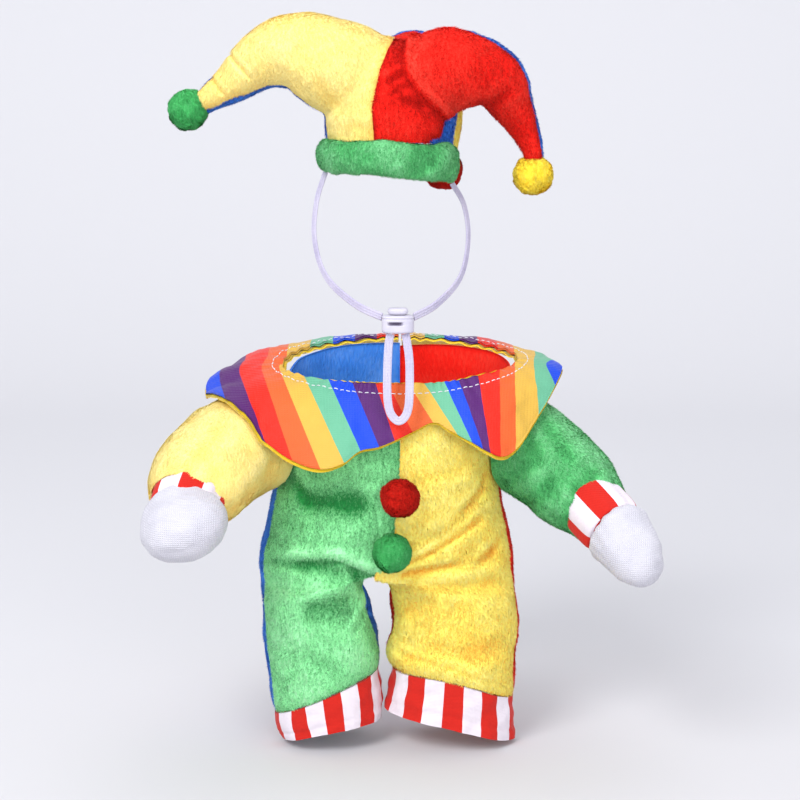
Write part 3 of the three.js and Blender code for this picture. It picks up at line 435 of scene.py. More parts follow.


def pile(name, points, normals, faces, material, seed, density=3.8, length=1.65, width=0.34,
         lean=1.18, nap=(0.0, 0.0, -1.0), swirl=0.5, tone=None):
    """Tufts on a mesh, density to a square mm, leaning by about lean radians along the nap."""
    mottle = MOTTLE.get(material.name, 1.0)
    rng = np.random.default_rng(seed)
    tris = triangles_of(faces)
    a, b, c = (points[tris[:, k]] for k in range(3))
    area = 0.5 * np.linalg.norm(np.cross(b - a, c - a), axis=1)
    count = int(area.sum() * density * PILE_SHARE)
    chosen = np.sort(rng.choice(len(tris), count, p=area / area.sum()))
    u, v = rng.random(count), rng.random(count)
    over = u + v > 1
    u[over], v[over] = 1 - u[over], 1 - v[over]
    weights = np.stack([1 - u - v, u, v], -1)[..., None]
    root = (points[tris[chosen]] * weights).sum(1)
    normal = unit((normals[tris[chosen]] * weights).sum(1))
    along = np.broadcast_to(np.asarray(nap, float), root.shape) + 0.02
    along = unit(along - (along * normal).sum(-1, keepdims=True) * normal)
    angle = swirl * ripples(root, 14, seed + 1) + rng.normal(0, 0.35, count)
    along = along * np.cos(angle)[:, None] + np.cross(normal, along) * np.sin(angle)[:, None]
    tilt = np.clip(lean + 0.16 * ripples(root, 9, seed + 2) + rng.normal(0, 0.14, count), 0.1, 1.42)
    tilt = tilt * mottle + CALM_TILT * (1 - mottle)
    direction = unit(normal * np.cos(tilt)[:, None] + along * np.sin(tilt)[:, None])
    sideways = unit(np.cross(direction, normal + mottle * rng.normal(0, 0.35, root.shape)))
    reach = length * rng.uniform(0.7, 1.15, count)[:, None]
    half = (width * rng.uniform(0.7, 1.3, count) / 2 / np.sqrt(PILE_SHARE))[:, None]
    corners = np.stack([root - sideways * half, root + sideways * half, root + direction * reach], 1)
    tones = np.zeros(len(points)) if tone is None else tone
    # Each tuft's shade: the painted shade and light of the cloth's tone under it, plus random mottle; its tip
    # attribute below paints its root dark and its tip light
    shade = (tones[tris[chosen]] * weights[..., 0]).sum(1) + mottle * rng.normal(0, 0.28, count)
    shade += mottle * (0.42 * ripples(root * STREAK, 1.5, seed + 3) + 0.1 * ripples(root, 9, seed + 4))
    facing = unit(normal + 0.3 * direction + rng.normal(0, 0.16, root.shape))
    made = piece(name, corners.reshape(-1, 3), np.arange(3 * count).reshape(-1, 3), material,
                 attributes={"tip": np.tile([0.0, 0.0, 1.0], count), "tone": np.repeat(shade, 3)},
                 normals=np.repeat(facing, 3, 0))
    cells = int(np.ceil(np.sqrt(count)))
    spot = np.stack([np.arange(count) % cells, np.arange(count) // cells], -1) / cells
    cell_corners = np.array([[0.08, 0.08], [0.92, 0.08], [0.5, 0.92]]) / cells
    places = (spot[:, None] + cell_corners).reshape(-1, 2)
    made.data.uv_layers.new(name="OFBake").data.foreach_set("uv", places.astype(np.float32).ravel())


# Materials
def linear(code):
    values = np.array([int(code[k:k + 2], 16) for k in (1, 3, 5)]) / 255
    return tuple(np.where(values <= 0.04045, values / 12.92, ((values + 0.055) / 1.055) ** 2.4)) + (1.0,)


class Nodes:
    """A new material and short ways to add and join its nodes."""

    def __init__(self, name, roughness, specular):
        self.material = bpy.data.materials.new(name)
        self.material.use_nodes = True
        self.tree = self.material.node_tree
        self.shader = self.tree.nodes["Principled BSDF"]
        self.shader.inputs["Roughness"].default_value = roughness
        self.shader.inputs["Specular IOR Level"].default_value = specular

    def add(self, kind, **values):
        node = self.tree.nodes.new(kind)
        for key, value in values.items():
            if key in node.inputs:
                node.inputs[key].default_value = value
            else:
                setattr(node, key, value)
        return node

    def join(self, out, into):
        self.tree.links.new(out, into)

    def attribute(self, name):
        return self.add("ShaderNodeAttribute", attribute_name=name).outputs["Fac"]

    def maths(self, operation, *values):
        node = self.add("ShaderNodeMath", operation=operation)
        for socket, value in zip(node.inputs, values):
            if isinstance(value, (int, float)):
                socket.default_value = value
            else:
                self.join(value, socket)
        return node.outputs[0]

    def total(self, *values):
        """The sum of outputs."""
        whole = values[0]
        for value in values[1:]:
            whole = self.maths("ADD", whole, value)
        return whole

    def ramp(self, factor, stops, interpolation="LINEAR"):
        node = self.add("ShaderNodeValToRGB")
        ramp = node.color_ramp
        ramp.interpolation = interpolation
        while len(ramp.elements) < len(stops):
            ramp.elements.new(1.0)
        for element, (position, colour) in zip(ramp.elements, stops):
            element.position = position
            element.color = linear(colour) if isinstance(colour, str) else colour
        self.join(factor, node.inputs[0])
        return node.outputs[0]

    def texture(self, kind, stretch, **values):
        """A texture over the object, drawn out where stretch is below 1."""
        mapping = self.add("ShaderNodeMapping")
        mapping.inputs["Scale"].default_value = stretch
        self.join(self.add("ShaderNodeTexCoord").outputs["Object"], mapping.inputs[0])
        node = self.add(kind, **values)
        self.join(mapping.outputs[0], node.inputs["Vector"])
        return node.outputs["Fac"]

    def noise(self, scale, stretch=(1, 1, 1), detail=3.0):
        """Noise whose grains are 1 / scale metres across."""
        return self.texture("ShaderNodeTexNoise", stretch, Scale=scale, Detail=detail)

    def wave(self, scale, stretch, direction="X"):
        return self.texture("ShaderNodeTexWave", stretch, Scale=scale, bands_direction=direction)

    def multiplied(self, factor, a, b):
        """One colour multiplied by another, as far as the factor says."""
        node = self.add("ShaderNodeMix", data_type="RGBA", blend_type="MULTIPLY")
        node.inputs["Factor"].default_value = factor
        self.join(a, node.inputs["A"])
        self.join(b, node.inputs["B"])
        return node.outputs["Result"]

    def bump(self, height, distance, strength=1.0):
        node = self.add("ShaderNodeBump", Strength=strength, Distance=distance)
        self.join(height, node.inputs["Height"])
        self.join(node.outputs[0], self.shader.inputs["Normal"])

    def sheen(self, weight, roughness, tint):
        self.shader.inputs["Sheen Weight"].default_value = weight
        self.shader.inputs["Sheen Roughness"].default_value = roughness
        self.shader.inputs["Sheen Tint"].default_value = tint

    def done(self, colour):
        """The material, with its base colour."""
        self.join(colour, self.shader.inputs["Base Color"])
        return self.material


WHITE = (1, 1, 1, 1)


def plush_material(name, dark, middle, light, sheen=0.25, grains=0.28):
    made = Nodes(name, 0.9, 0.15)
    grain = made.noise(900, (1, 1, 0.35))
    # Painted shade and light: darker towards the tufts' roots, lighter at their tips, and as the tone
    # attribute says; the grain adds random unevenness
    value = made.maths("MULTIPLY_ADD", made.attribute("tip"), 0.42, 0.26 - grains / 2)
    value = made.total(value, made.maths("MULTIPLY", made.attribute("tone"), 0.2),
                       made.maths("MULTIPLY", grain, grains))
    made.bump(grain, 0.0006)
    made.sheen(sheen, 0.45, linear(light))
    return made.done(made.ramp(value, [(0.0, dark), (0.45, middle), (0.95, light)]))


# Each plush and pompom runs from dark, taken by painted shade, through its own middle colour to light, taken
# by painted highlight; random mottle spans them too
PLUSHES = {
    "green": plush_material("green_plush", "#23843f", "#96f2a6", "#d0ffd8", grains=0.36),
    "deep_green": plush_material("deep_green_plush", "#1c6e36", "#54b46a", "#9ce4ac"),
    "yellow": plush_material("yellow_plush", "#fa9a20", "#ffec68", "#fff6ac", grains=0.2),
    "pale_yellow": plush_material("pale_yellow_plush", "#fdc552", "#ffea8c", "#fff8c0", grains=0.1),
    "blue": plush_material("blue_plush", "#0d3a9c", "#3a80e6", "#86b8ff"),
    "red": plush_material("red_plush", "#980a06", "#ee1c12", "#ff5c48"),
}
POMPOMS = {
    "red": plush_material("red_pompom", "#8c0c06", "#ba140a", "#d83826", 0.1),
    "green": plush_material("green_pompom", "#22803c", "#42ac5c", "#74d28a", 0.1),
    "yellow": plush_material("yellow_pompom", "#f2b010", "#ffe23c", "#fff084", 0.1),
}
RAINBOW = ["#1647d1", "#54206a", "#e12716", "#e1612c", "#daae48", "#68b28f"]


def striped_material(name, colours, roughness, rib, sheen, specular):
    """Woven cloth with printed stripes, whose number comes from the points' stripe attribute."""
    made = Nodes(name, roughness, specular)
    count = len(colours)
    turn = made.maths("FRACT", made.maths("DIVIDE", made.attribute("stripe"), float(count)))
    stripes = made.ramp(turn, [(k / count, colour) for k, colour in enumerate(colours)], "CONSTANT")
    shade = made.ramp(made.noise(60, detail=2.0), [(0.3, (0.82, 0.82, 0.84, 1)), (0.7, WHITE)])
    weave = made.total(made.wave(rib, (1, 1, 0.15)), made.wave(rib * 0.9, (0.2, 0.2, 1), "Z"))
    made.bump(made.total(weave, made.noise(500)), 0.00012, 0.7)
    made.sheen(sheen, 0.4, WHITE)
    return made.done(made.multiplied(0.35, stripes, shade))


def plain_cloth(name, colour, shade, roughness, rib, depth):
    """Woven cloth of one colour, a little shaded by its weave and by a soft cloudiness."""
    made = Nodes(name, roughness, 0.3)
    weave = made.maths("MULTIPLY", made.wave(rib, (1, 1, 0.2)), made.wave(rib, (0.2, 0.2, 1), "Z"))
    cloudy = made.total(made.maths("MULTIPLY", made.noise(80), 0.6), made.maths("MULTIPLY", weave, 0.4))
    made.bump(made.total(weave, made.noise(600)), depth)
    made.sheen(0.2, 0.4, WHITE)
    return made.done(made.ramp(cloudy, [(0.2, shade), (0.75, colour)]))


SATIN_STRIPES = striped_material("striped_satin", RAINBOW, 0.42, 420, 0.03, 0.25)
COTTON_STRIPES = striped_material("striped_cotton", ["#cc241a", "#e6dde6"], 0.8, 500, 0.1, 0.2)
LINING = plain_cloth("yellow_satin", "#fbe03c", "#eec426", 0.45, 420, 0.0001)
TRICOT = plain_cloth("white_tricot", "#d6d5dc", "#c0bfca", 0.75, 320, 0.00025)
ELASTIC_CLOTH = plain_cloth("white_elastic", "#dad6e6", "#b4aecb", 0.6, 450, 0.0002)
TAB_CLOTH = plain_cloth("hook_and_loop", "#1d58c4", "#0f3c94", 0.95, 380, 0.0004)
THREAD = plain_cloth("white_thread", "#eeeef2", "#d2d2da", 0.5, 900, 0.0001)


def plastic_material():
    """Moulded white plastic, darker where the points' deep attribute says so: painted shade down in a slot.
    """
    made = Nodes("white_plastic", 0.32, 0.5)
    cloudy = made.ramp(made.noise(150), [(0.3, "#bdbacb"), (0.7, "#cbc8d6")])
    # Painted shade in the slot, where deep is 1
    shade = made.ramp(made.attribute("deep"), [(0.0, "#ffffff"), (1.0, "#7c7088")])
    made.bump(made.noise(700), 0.00004)
    return made.done(made.multiplied(1.0, cloudy, shade))


PLASTIC = plastic_material()

# The photograph's view: the camera, the pale floor with its backdrop, and soft light
PHOTO_EYE = np.array([0.0, -1100.0, 185.0])
PHOTO_TARGET = np.array([0.0, 0.0, -7.5])
PHOTO_FOCAL = 2233.4  # pixels
PHOTO_SIZE = 800
SENSOR = 36.0
forward = unit(PHOTO_TARGET - PHOTO_EYE)
rightward = unit(np.cross(forward, [0, 0, 1]))
upward = np.cross(rightward, forward)


def photo_place(points):
    """Where points show in the photograph's frame, in pixels."""
    away = np.asarray(points) - PHOTO_EYE
    deep = away @ forward
    x = PHOTO_SIZE / 2 + PHOTO_FOCAL * (away @ rightward) / deep
    return x, PHOTO_SIZE / 2 - PHOTO_FOCAL * (away @ upward) / deep


camera_data = bpy.data.cameras.new("camera")
camera_data.sensor_width = SENSOR
camera_data.lens = PHOTO_FOCAL / PHOTO_SIZE * SENSOR
camera = bpy.data.objects.new("camera", camera_data)
camera.location = PHOTO_EYE * MM
camera.rotation_euler = Vector(PHOTO_TARGET - PHOTO_EYE).to_track_quat("-Z", "Y").to_euler()
bpy.context.scene.collection.objects.link(camera)
bpy.context.scene.camera = camera


# Painted shade and light of the backdrop: darker on the floor in front, lighter towards the back and up the
# wall
BACKDROP_PAINTED_SHADING = [(0.0, "#c8c6c9"), (0.35, "#d2d2d5"), (0.7, "#d6d6d9"), (1.0, "#dadadd")]
FLOOR_Z, BEND, BACK = -181.0, 700.0, 900.0  # the floor's height, its bend's radius and where that starts


def backdrop():
    """A pale floor that bends up into a wall behind the part, painted darker on the floor in front and
    lighter towards the back and up the wall: painted shade and light.
    """
    turns = np.radians(np.linspace(0, 90, 24))
    profile = [(-2500.0, FLOOR_Z)] + [(y, FLOOR_Z) for y in np.linspace(-600, BACK, 16)]
    profile += [(BACK + BEND * np.sin(t), FLOOR_Z + BEND * (1 - np.cos(t))) for t in turns[1:]]
    profile.append((BACK + BEND, 2600.0))
    points = np.array([[(x, y, z) for x in (-3000.0, 3000.0)] for y, z in profile])
    made = Nodes("backdrop", 0.9, 0.1)
    rise = np.clip((points[..., 1] + 600) / 2200, 0, 1)
    material = made.done(made.ramp(made.attribute("rise"), BACKDROP_PAINTED_SHADING))
    new_object("backdrop", points.reshape(-1, 3), grid_faces(len(profile), 2), material,
                        attributes={"rise": rise})


def area_light(name, place, size, power):
    """A round soft light that faces the part's middle."""
    data = bpy.data.lights.new(name, "AREA")
    data.shape = "DISK"
    data.size = size
    data.energy = power
    light = bpy.data.objects.new(name, data)
    light.location = place
    light.rotation_euler = (-Vector(place)).to_track_quat("-Z", "Y").to_euler()
    bpy.context.scene.collection.objects.link(light)


backdrop()
area_light("key", (-0.8, -1.4, 1.3), 1.0, 29)
area_light("fill", (0.6, -1.9, 0.5), 1.4, 16)
area_light("top", (0.1, 0.3, 1.9), 1.6, 9)
world = bpy.data.worlds.new("world")
world.use_nodes = True
world.node_tree.nodes["Background"].inputs["Color"].default_value = (0.86, 0.87, 0.93, 1)
world.node_tree.nodes["Background"].inputs["Strength"].default_value = 0.86
bpy.context.scene.world = world
bpy.context.scene.view_settings.view_transform = "Standard"

# Further creases of the cloth, in the columns of creases()
FRONT_LEFT_CREASES = [
    (-53, -41, -47, -52, 3.4, 1.6, 0.8),
    (-48, -52.5, -18, -51, 5, 1.5, 0.6),
    (-67, -86.5, -49, -84.5, 3.0, 1.8, 1.3),
    (-50, -84.5, -30, -82, 3.2, 2.2, 1.6),
    (-30, -82, -12, -89, 2.6, 1.3, 1.3),
    (-17, -100, -24, -85.5, 2.6, 1.5, 1.2),
    (-44, -105, -25, -103, 5, 1.8, 0.4),
    (-20.5, -117, -13.5, -105.5, 2.2, 1.0, 1.2),
    (-14, -116, -11, -130, 3, 1.1, 0),
    (-62, -128, -30, -136, 5, 0.6, 0.3),
    (-40, -120, -30, -126, 4, 0.5, 0.3),
]
FRONT_RIGHT_CREASES = [
    (3, -82, 15, -76.5, 1.9, 1.5, 1.0),
    (14, -77, 40, -62, 2.0, 1.7, 1.1),
    (2, -87.5, 25, -84, 1.8, 1.4, 0.8),
    (40, -84, 47, -79, 2.6, 1.5, 0.8),
    (46.5, -79.5, 53, -72, 2.6, 1.6, 0.8),
    (32, -56, 41.5, -48, 2.2, 1.6, 1.0),
    (39, -47, 43, -42, 1.6, 1.0, 0.4),
    (-1, -95.5, 44, -94.5, 3.0, 0.8, 0.8),
    (14, -108, 34, -106, 6, 0.6, 0),
    (-3.5, -129.5, 25, -135.5, 1.6, 0.7, 0.3),
    (24, -135.5, 45, -144.5, 1.6, 0.7, 0.3),
    (8, -40, 30, -36, 4, 0.6, 0.3),
]
BACK_CREASES = [
    (-56, -30, -18, -22, 5, 1.6, 0.9),
    (-60, -62, -30, -72, 4, 1.8, 1.0),
    (-66, -108, -28, -100, 3.4, 1.7, 1.1),
    (-24, -116, -52, -124, 3, 1.2, 0.6),
    (-62, -140, -34, -134, 4, 0.9, 0.4),
    (46, -26, 16, -18, 5, 1.5, 0.8),
    (50, -64, 26, -54, 3.6, 1.7, 1.0),
    (56, -104, 22, -98, 3.4, 1.6, 1.0),
    (18, -122, 44, -116, 3, 1.1, 0.6),
    (52, -142, 24, -134, 4, 0.9, 0.4),
]


def border_distance(points, border):
    """How far each point of a grid is from the nearest of the border's points."""
    flat = points.reshape(-1, 3)
    parts = [((flat[k:k + 2000, None] - border) ** 2).sum(-1).min(1) for k in range(0, len(flat), 2000)]
    return np.sqrt(np.concatenate(parts)).reshape(points.shape[:-1])


CROTCH = np.array([-11.0, -40.0, -88.0])
CROTCH_ROW = 7
CROTCH_LAP = 0.7  # each front over the other just above there


def painted_fold_shading(height):
    """Colour painted darker down in a crease and lighter up on a ridge: painted shade and painted light."""
    return np.clip(height, -1.8, 1.2) * 0.75


def plush_cloth(node, body, faces, tones, colour):
    """The cloth of a plush piece, which its pile stands on."""
    # Its tip attribute paints the cloth as the shade between the tufts, and its tones carry painted shade and
    # light
    return piece(f"{node}_cloth", body, faces, PLUSHES[colour], node,
                 attributes={"tip": np.full(len(body), CLOTH_TIP), "tone": tones})


def plush_panel(name, points, normals, height, colour, seed, shade):
    """A plush wall whose cloth lies under a grid of points, and the pile that stands on it."""
    distance = border_distance(points, np.concatenate([points[0], points[-1], points[:, 0], points[:, -1]]))
    near_crotch = bell(np.linalg.norm(points - CROTCH, axis=-1), 11)
    dip = 1.2 * bell(distance, 2.4) * (1 - near_crotch)
    cloth = points + normals * (height - PILE_INSET * (1 - near_crotch) - dip)[..., None]
    inside = points - normals * (PLUSH - height.clip(-0.5, 0.3))[..., None]
    # Painted shade in the creases and along the panel's edges at the seams, painted light on the ridges, and
    # the shade passed in
    tone = painted_fold_shading(height) + shade - 0.7 * bell(distance, 1.4)
    made = plush_cloth(name, *shell(cloth, inside), both_sides(tone), colour)
    pile(f"{name}_pile", cloth.reshape(-1, 3), normals.reshape(-1, 3), grid_faces(*points.shape[:2]),
         PLUSHES[colour], seed, tone=tone.reshape(-1))
    return made


HALF_GAP_TURN = 0.1  # degrees
TRUNK_SHADE = {"green": -0.8, "yellow": 0.25, "blue": 0.0, "red": 0.0}  # the trunk's pile against the legs'
body_skins = []


def suit_body():
    sides = [
        ("left", LEFT, LEFT_ROWS, LEFT_FOLDS, SIDE_SEAM_LEFT, "green", "blue", FRONT_LEFT_CREASES, 11),
        ("right", RIGHT, RIGHT_ROWS, RIGHT_FOLDS, SIDE_SEAM_RIGHT, "yellow", "red", FRONT_RIGHT_CREASES, 21),
    ]
    places = np.linspace(0, 13, 105)
    for name, side, rows, folds, seam, front, back, front_creases, seed in sides:
        row = between(rows, places)
        start, end = np.where(places <= CROTCH_ROW, 90, row[:, 7]), row[:, 8]
        first = np.where(start > 89, start, start + HALF_GAP_TURN)
        last = np.minimum(end, np.where(start > 89, 270, 360 + start - HALF_GAP_TURN))
        spans = [
            ("front", first, np.full(len(places), seam - HALF_GAP_TURN), front, front_creases, 52, 1),
            ("back", np.full(len(places), seam + HALF_GAP_TURN), last, back, BACK_CREASES, 46, -1),
        ]
        for part, begin, finish, colour, table, columns, facing in spans:
            share = np.linspace(0, 1, columns)
            turns = begin[:, None] + (finish - begin)[:, None] * share
            grid = np.broadcast_to(places[:, None], turns.shape)
            points = body_point(rows, folds, grid, turns, side)
            normals = body_normal(rows, folds, grid, turns, side)
            if facing > 0:
                closed = bell(points[..., 2] - CROTCH[2] - 2.2, 3.0) * (1 - share) ** 8
                points[..., 0] -= side * CROTCH_LAP * closed
            toward = np.sin(np.radians(turns)) * facing
            height = creases(table, points, toward)
            height += 0.35 * ripples(points, 26, seed) + 0.16 * ripples(points, 11, seed + 5)
            # sunk paints shade down into the main folds; it goes to the panel with the trunk's pile against
            # the legs'
            sunk = fold_at(folds, points[..., 0], points[..., 2]) * np.clip(toward * facing, 0, 1) ** 0.5
            trunk = smooth_step(-84, -72, points[..., 2])
            panel = plush_panel(f"{part}_{name}", points, normals, height, colour, seed + facing,
                                0.3 * sunk + TRUNK_SHADE[colour] * trunk)
            body_skins.append((points.reshape(-1, 3), normals.reshape(-1, 3)))


def tube(table, sides, steps, roll=0.0):
    """Points, outward normals and middles of rings along a table of sections: x, y, z, radius, flatness.
    The rings' first points lie level, or as far round from there as roll says, in radians."""
    ease = np.linspace(0, len(table) - 1, steps)
    rows = between(table, ease)
    middle = rows[:, :3]
    along = unit(between(table, ease + 0.05)[:, :3] - between(table, ease - 0.05)[:, :3])
    level = unit(np.cross([0.0, 0.0, 1.0], along[0]))
    level = np.cos(roll) * level + np.sin(roll) * np.cross(along[0], level)
    angle = full_turn(sides)[:, None]
    points = np.zeros((steps, sides, 3))
    for k in range(steps):
        level = unit(level - (level @ along[k]) * along[k])
        upright = np.cross(along[k], level)
        radius, flat = rows[k, 3], rows[k, 4]
        points[k] = middle[k] + radius * (np.cos(angle) * level + flat * np.sin(angle) * upright)
    normals = unit(np.cross(np.gradient(points, axis=0), np.roll(points, -1, 1) - np.roll(points, 1, 1)))
    outwards = np.sign(((points - middle[:, None]) * normals).sum(-1).mean())
    return points, normals * outwards, middle


def closed_tube(points):
    """The points and triangles of a tube of rings with a middle point at each end."""
    rows, sides = points.shape[:2]
    index = np.arange(sides)
    after = (index + 1) % sides
    count, last_row = rows * sides, (rows - 1) * sides
    first = np.stack([after, index, np.full(sides, count)], -1)
    final = np.stack([last_row + index, last_row + after, np.full(sides, count + 1)], -1)
    faces = np.concatenate([triangles_of(grid_faces(rows, sides, True)), first, final])
    body = np.concatenate([points.reshape(-1, 3), points[:1].mean(1), points[-1:].mean(1)])
    return body, outward(body, faces)


def with_ends(values):
    """A grid's values for the points of a closed tube."""
    return np.append(values.reshape(-1), [0, 0])


def clear_of_body(points, gap):
    """Points that would lie in the suit's body, moved out to its face."""
    skin = np.concatenate([p for p, _ in body_skins])
    faces_out = np.concatenate([n for _, n in body_skins])
    flat = points.reshape(-1, 3).copy()
    for k in range(0, len(flat), 1000):
        part = flat[k:k + 1000]
        nearest = ((part[:, None] - skin[None]) ** 2).sum(-1).argmin(1)
        height = ((part - skin[nearest]) * faces_out[nearest]).sum(-1)
        moved = part + faces_out[nearest] * np.maximum(gap - height, 0)[:, None]
        flat[k:k + 1000] = np.where((height < gap)[:, None], moved, part)
    return flat.reshape(points.shape)


SLEEVE_LEFT_CREASES = [
    (-62, -8, -54, -30, 4, 1.3, 0.7),
    (-84, -12, -104, -28, 4, 1.0, 0.6),
    (-74, -50, -62, -34, 4, 1.4, 0.8),
    (-112, -40, -100, -30, 3.2, 1.1, 0.6),
    (-86, -56, -92, -40, 3.4, 1.2, 0.6),
]
SLEEVE_RIGHT_CREASES = [
    (56, -6, 66, -30, 4, 1.3, 0.7),
    (70, -12, 84, -30, 4, 1.1, 0.6),
    (62, -54, 74, -40, 4, 1.3, 0.8),
    (98, -38, 86, -46, 3.2, 1.2, 0.6),
    (80, -62, 88, -48, 3.4, 1.1, 0.6),
]


def along_table(table, distance, radius):
    """A section straight on from the end of a table of sections."""
    end, before = np.array(table[-1][:3]), np.array(table[-2][:3])
    return (*(end + unit(end - before) * distance), radius, 1.0)


CUFF_INSIDE = 11.0  # how far a cuff starts inside its arm
MITT_STARTS = [(GAP, -1.4), (3.3, 1)]  # a mitt's first sections: how far from its cuff, and how much wider
ARM_SIDES = 84


def sleeves():
    arms = [
        ("left", SLEEVE_LEFT, (18, 17.4), MITT_LEFT, "pale_yellow", SLEEVE_LEFT_CREASES, 31,
         {"stripes": 10, "start": 0.47, "length": 8.0, "pull": 1.0, "top": 110, "roll": 0.24}),
        ("right", SLEEVE_RIGHT, (15.7, 15.4), MITT_RIGHT, "deep_green", SLEEVE_RIGHT_CREASES, 41,
         {"stripes": 8, "start": 1.74, "length": 10.5, "pull": 7.0, "top": 140, "roll": 0.0}),
    ]
    for name, table, radii, mitt_table, colour, its_creases, seed, more in arms:
        points, normals, middle = tube(table, ARM_SIDES, 74)
        front = -normals[..., 1]
        height = creases(its_creases, points, front + 0.2) + creases(its_creases, points, -front) * 0.8
        height += 0.4 * ripples(points, 24, seed) + 0.18 * ripples(points, 10, seed + 5)
        near_end = np.linalg.norm(points - middle[-1], axis=-1)
        angle = full_turn(ARM_SIDES)
        gather = bell(np.maximum(near_end - 15, 0), 9)
        height += gather * 0.3 * np.sin(11 * angle + 0.8 * np.sin(3 * angle + seed))
        pulled = more["pull"] * np.clip(np.cos(angle - np.radians(more["top"])), 0, 1) ** 1.5
        back = bell(near_end - near_end[-1], 14) * pulled
        points = points - unit(middle[-1] - middle[-4]) * back[..., None]
        laid = points + normals * (height - PILE_INSET)[..., None]
        cloth = clear_of_body(laid, 0.9)
        # Painted light on the faces turned up and out to the side (rim), painted shade in the creases and a
        # little over the whole sleeve
        sideways = np.abs(normals[..., 0]) * (normals[..., 0] * points[..., 0] > 0)
        rim = np.clip(sideways * 0.6 + 0.8 * normals[..., 2], 0, 1)
        tone = painted_fold_shading(height) + 0.9 * rim**2 - 0.1
        arm = plush_cloth(f"sleeve_{name}", *closed_tube(cloth), with_ends(tone), colour)
        moved = np.linalg.norm(cloth - laid, axis=-1) > 0.6
        skin = grid_faces(*points.shape[:2], True)
        skin = skin[~moved.reshape(-1)[skin].any(1)]
        pile(f"sleeve_{name}_pile", cloth.reshape(-1, 3), normals.reshape(-1, 3), skin, PLUSHES[colour], seed,
             tone=tone.reshape(-1), nap=unit(middle[-1] - middle[0]))
        cuff(name, table, radii, seed, more)
        mitt(name, table, radii, mitt_table, seed, more)


def cuff(name, table, radii, seed, more):
    """A striped cotton band, softly puckered, round the end of a sleeve."""
    start = along_table(table, GAP - CUFF_INSIDE, radii[0])
    end = along_table(table, GAP + more["length"], radii[1])
    points, normals, _ = tube([start, end], 120, 24)
    share = np.linspace(0, 1, 24)[:, None]
    angle = full_turn(120)
    rounding = -1.3 * (np.abs(share - 0.5) * 2) ** 4
    height = rounding + 0.35 * np.sin(9 * angle + np.sin(2 * angle + seed)) * (0.4 + share)
    outer = points + normals * (height + 0.4)[..., None]
    stripe = np.broadcast_to(angle / (2 * np.pi) * more["stripes"] + more["start"], outer.shape[:2])
    made = piece(f"sleeve_cuff_{name}_cloth", *closed_tube(outer), COTTON_STRIPES, f"sleeve_cuff_{name}",
                 attributes={"stripe": with_ends(stripe)})


def mitt(name, table, radii, mitt_table, seed, more):
    """A stuffed mitt, gathered where it comes out of its cuff."""
    length = GAP + more["length"]
    root = [along_table(table, length + away, radii[1] + more_wide) for away, more_wide in MITT_STARTS]
    points, normals, middle = tube(root + mitt_table, 96, 90, more["roll"])
    height = 0.28 * ripples(points, 15, seed + 8) + 0.14 * ripples(points, 7, seed + 9)
    gather = bell(np.linalg.norm(points - middle[0], axis=-1), 20, 4)
    angle = full_turn(96)
    height += 0.32 * gather * np.sin(14 * angle + 1.2 * np.sin(2 * angle))
    outer = points + normals * height[..., None]
    made = piece(f"mitt_{name}_cloth", *closed_tube(outer), TRICOT, f"mitt_{name}")


# Where the collar's stripes begin in the photograph's frame, in pixels, and their slopes there
STRIPE_EDGES = [
    (223.6, 0.33), (246.8, 0.38), (270, 0.33), (289.4, 0.41), (312, 0.46), (335, 0.45),
    (357, 0.42), (379, 0.33), (393, 0.51), (415, 0.64), (431, 0.65), (450, 0.46),
    (464, 0.36), (480.8, 0.16), (500, 0.01), (515, 0.01), (536.8, 0.1), (560, 0.5),
]
STRIPE_EDGE_HEIGHT = 394.0  # how far down the frame those are read
STRIPE_PITCH = 20.0  # beyond the first and the last of them
FIRST_STRIPE = 7  # the number of the stripe that starts at the first
BACK_STRIPES_HEIGHT = 385.0  # how far down the frame the stripes of the collar's back are taken


def stripe_of(across, down):
    """Which stripe of the satin shows at places in the photograph's frame, counted from the left."""
    places, slopes = np.array(STRIPE_EDGES).T
    edges = places + slopes * (np.asarray(down)[..., None] - STRIPE_EDGE_HEIGHT)
    passed = (edges <= across[..., None]).sum(-1)
    last = len(places)
    low = np.take_along_axis(edges, np.clip(passed - 1, 0, last - 1)[..., None], -1)[..., 0]
    high = np.take_along_axis(edges, np.clip(passed, 0, last - 1)[..., None], -1)[..., 0]
    inside = (passed > 0) & (passed < last)
    share = np.where(inside, (across - low) / np.maximum(high - low, 1e-6), 0)
    before = (across - edges[..., 0]) / STRIPE_PITCH
    after = (across - edges[..., -1]) / STRIPE_PITCH
    value = np.where(passed == 0, before, passed - 1 + share)
    return np.where(passed == last, last - 1 + after, value) + FIRST_STRIPE


def rest_on(points, table):
    """Points that would lie in an arm, moved out to rest on it."""
    rows = between(table, np.arange(0, len(table) - 0.99, 0.1))
    flat = points.reshape(-1, 3)
    away = flat[:, None] - rows[None, :, :3]
    reach = rows[:, 3] + COLLAR_CLEARANCE
    share = np.linalg.norm(away, axis=-1) / reach
    nearest = share.argmin(1)
    index = np.arange(len(flat))
    raised = rows[nearest, :3] + unit(away[index, nearest]) * reach[nearest][:, None]
    return np.where((share[index, nearest] < 1)[:, None], raised, flat).reshape(points.shape)


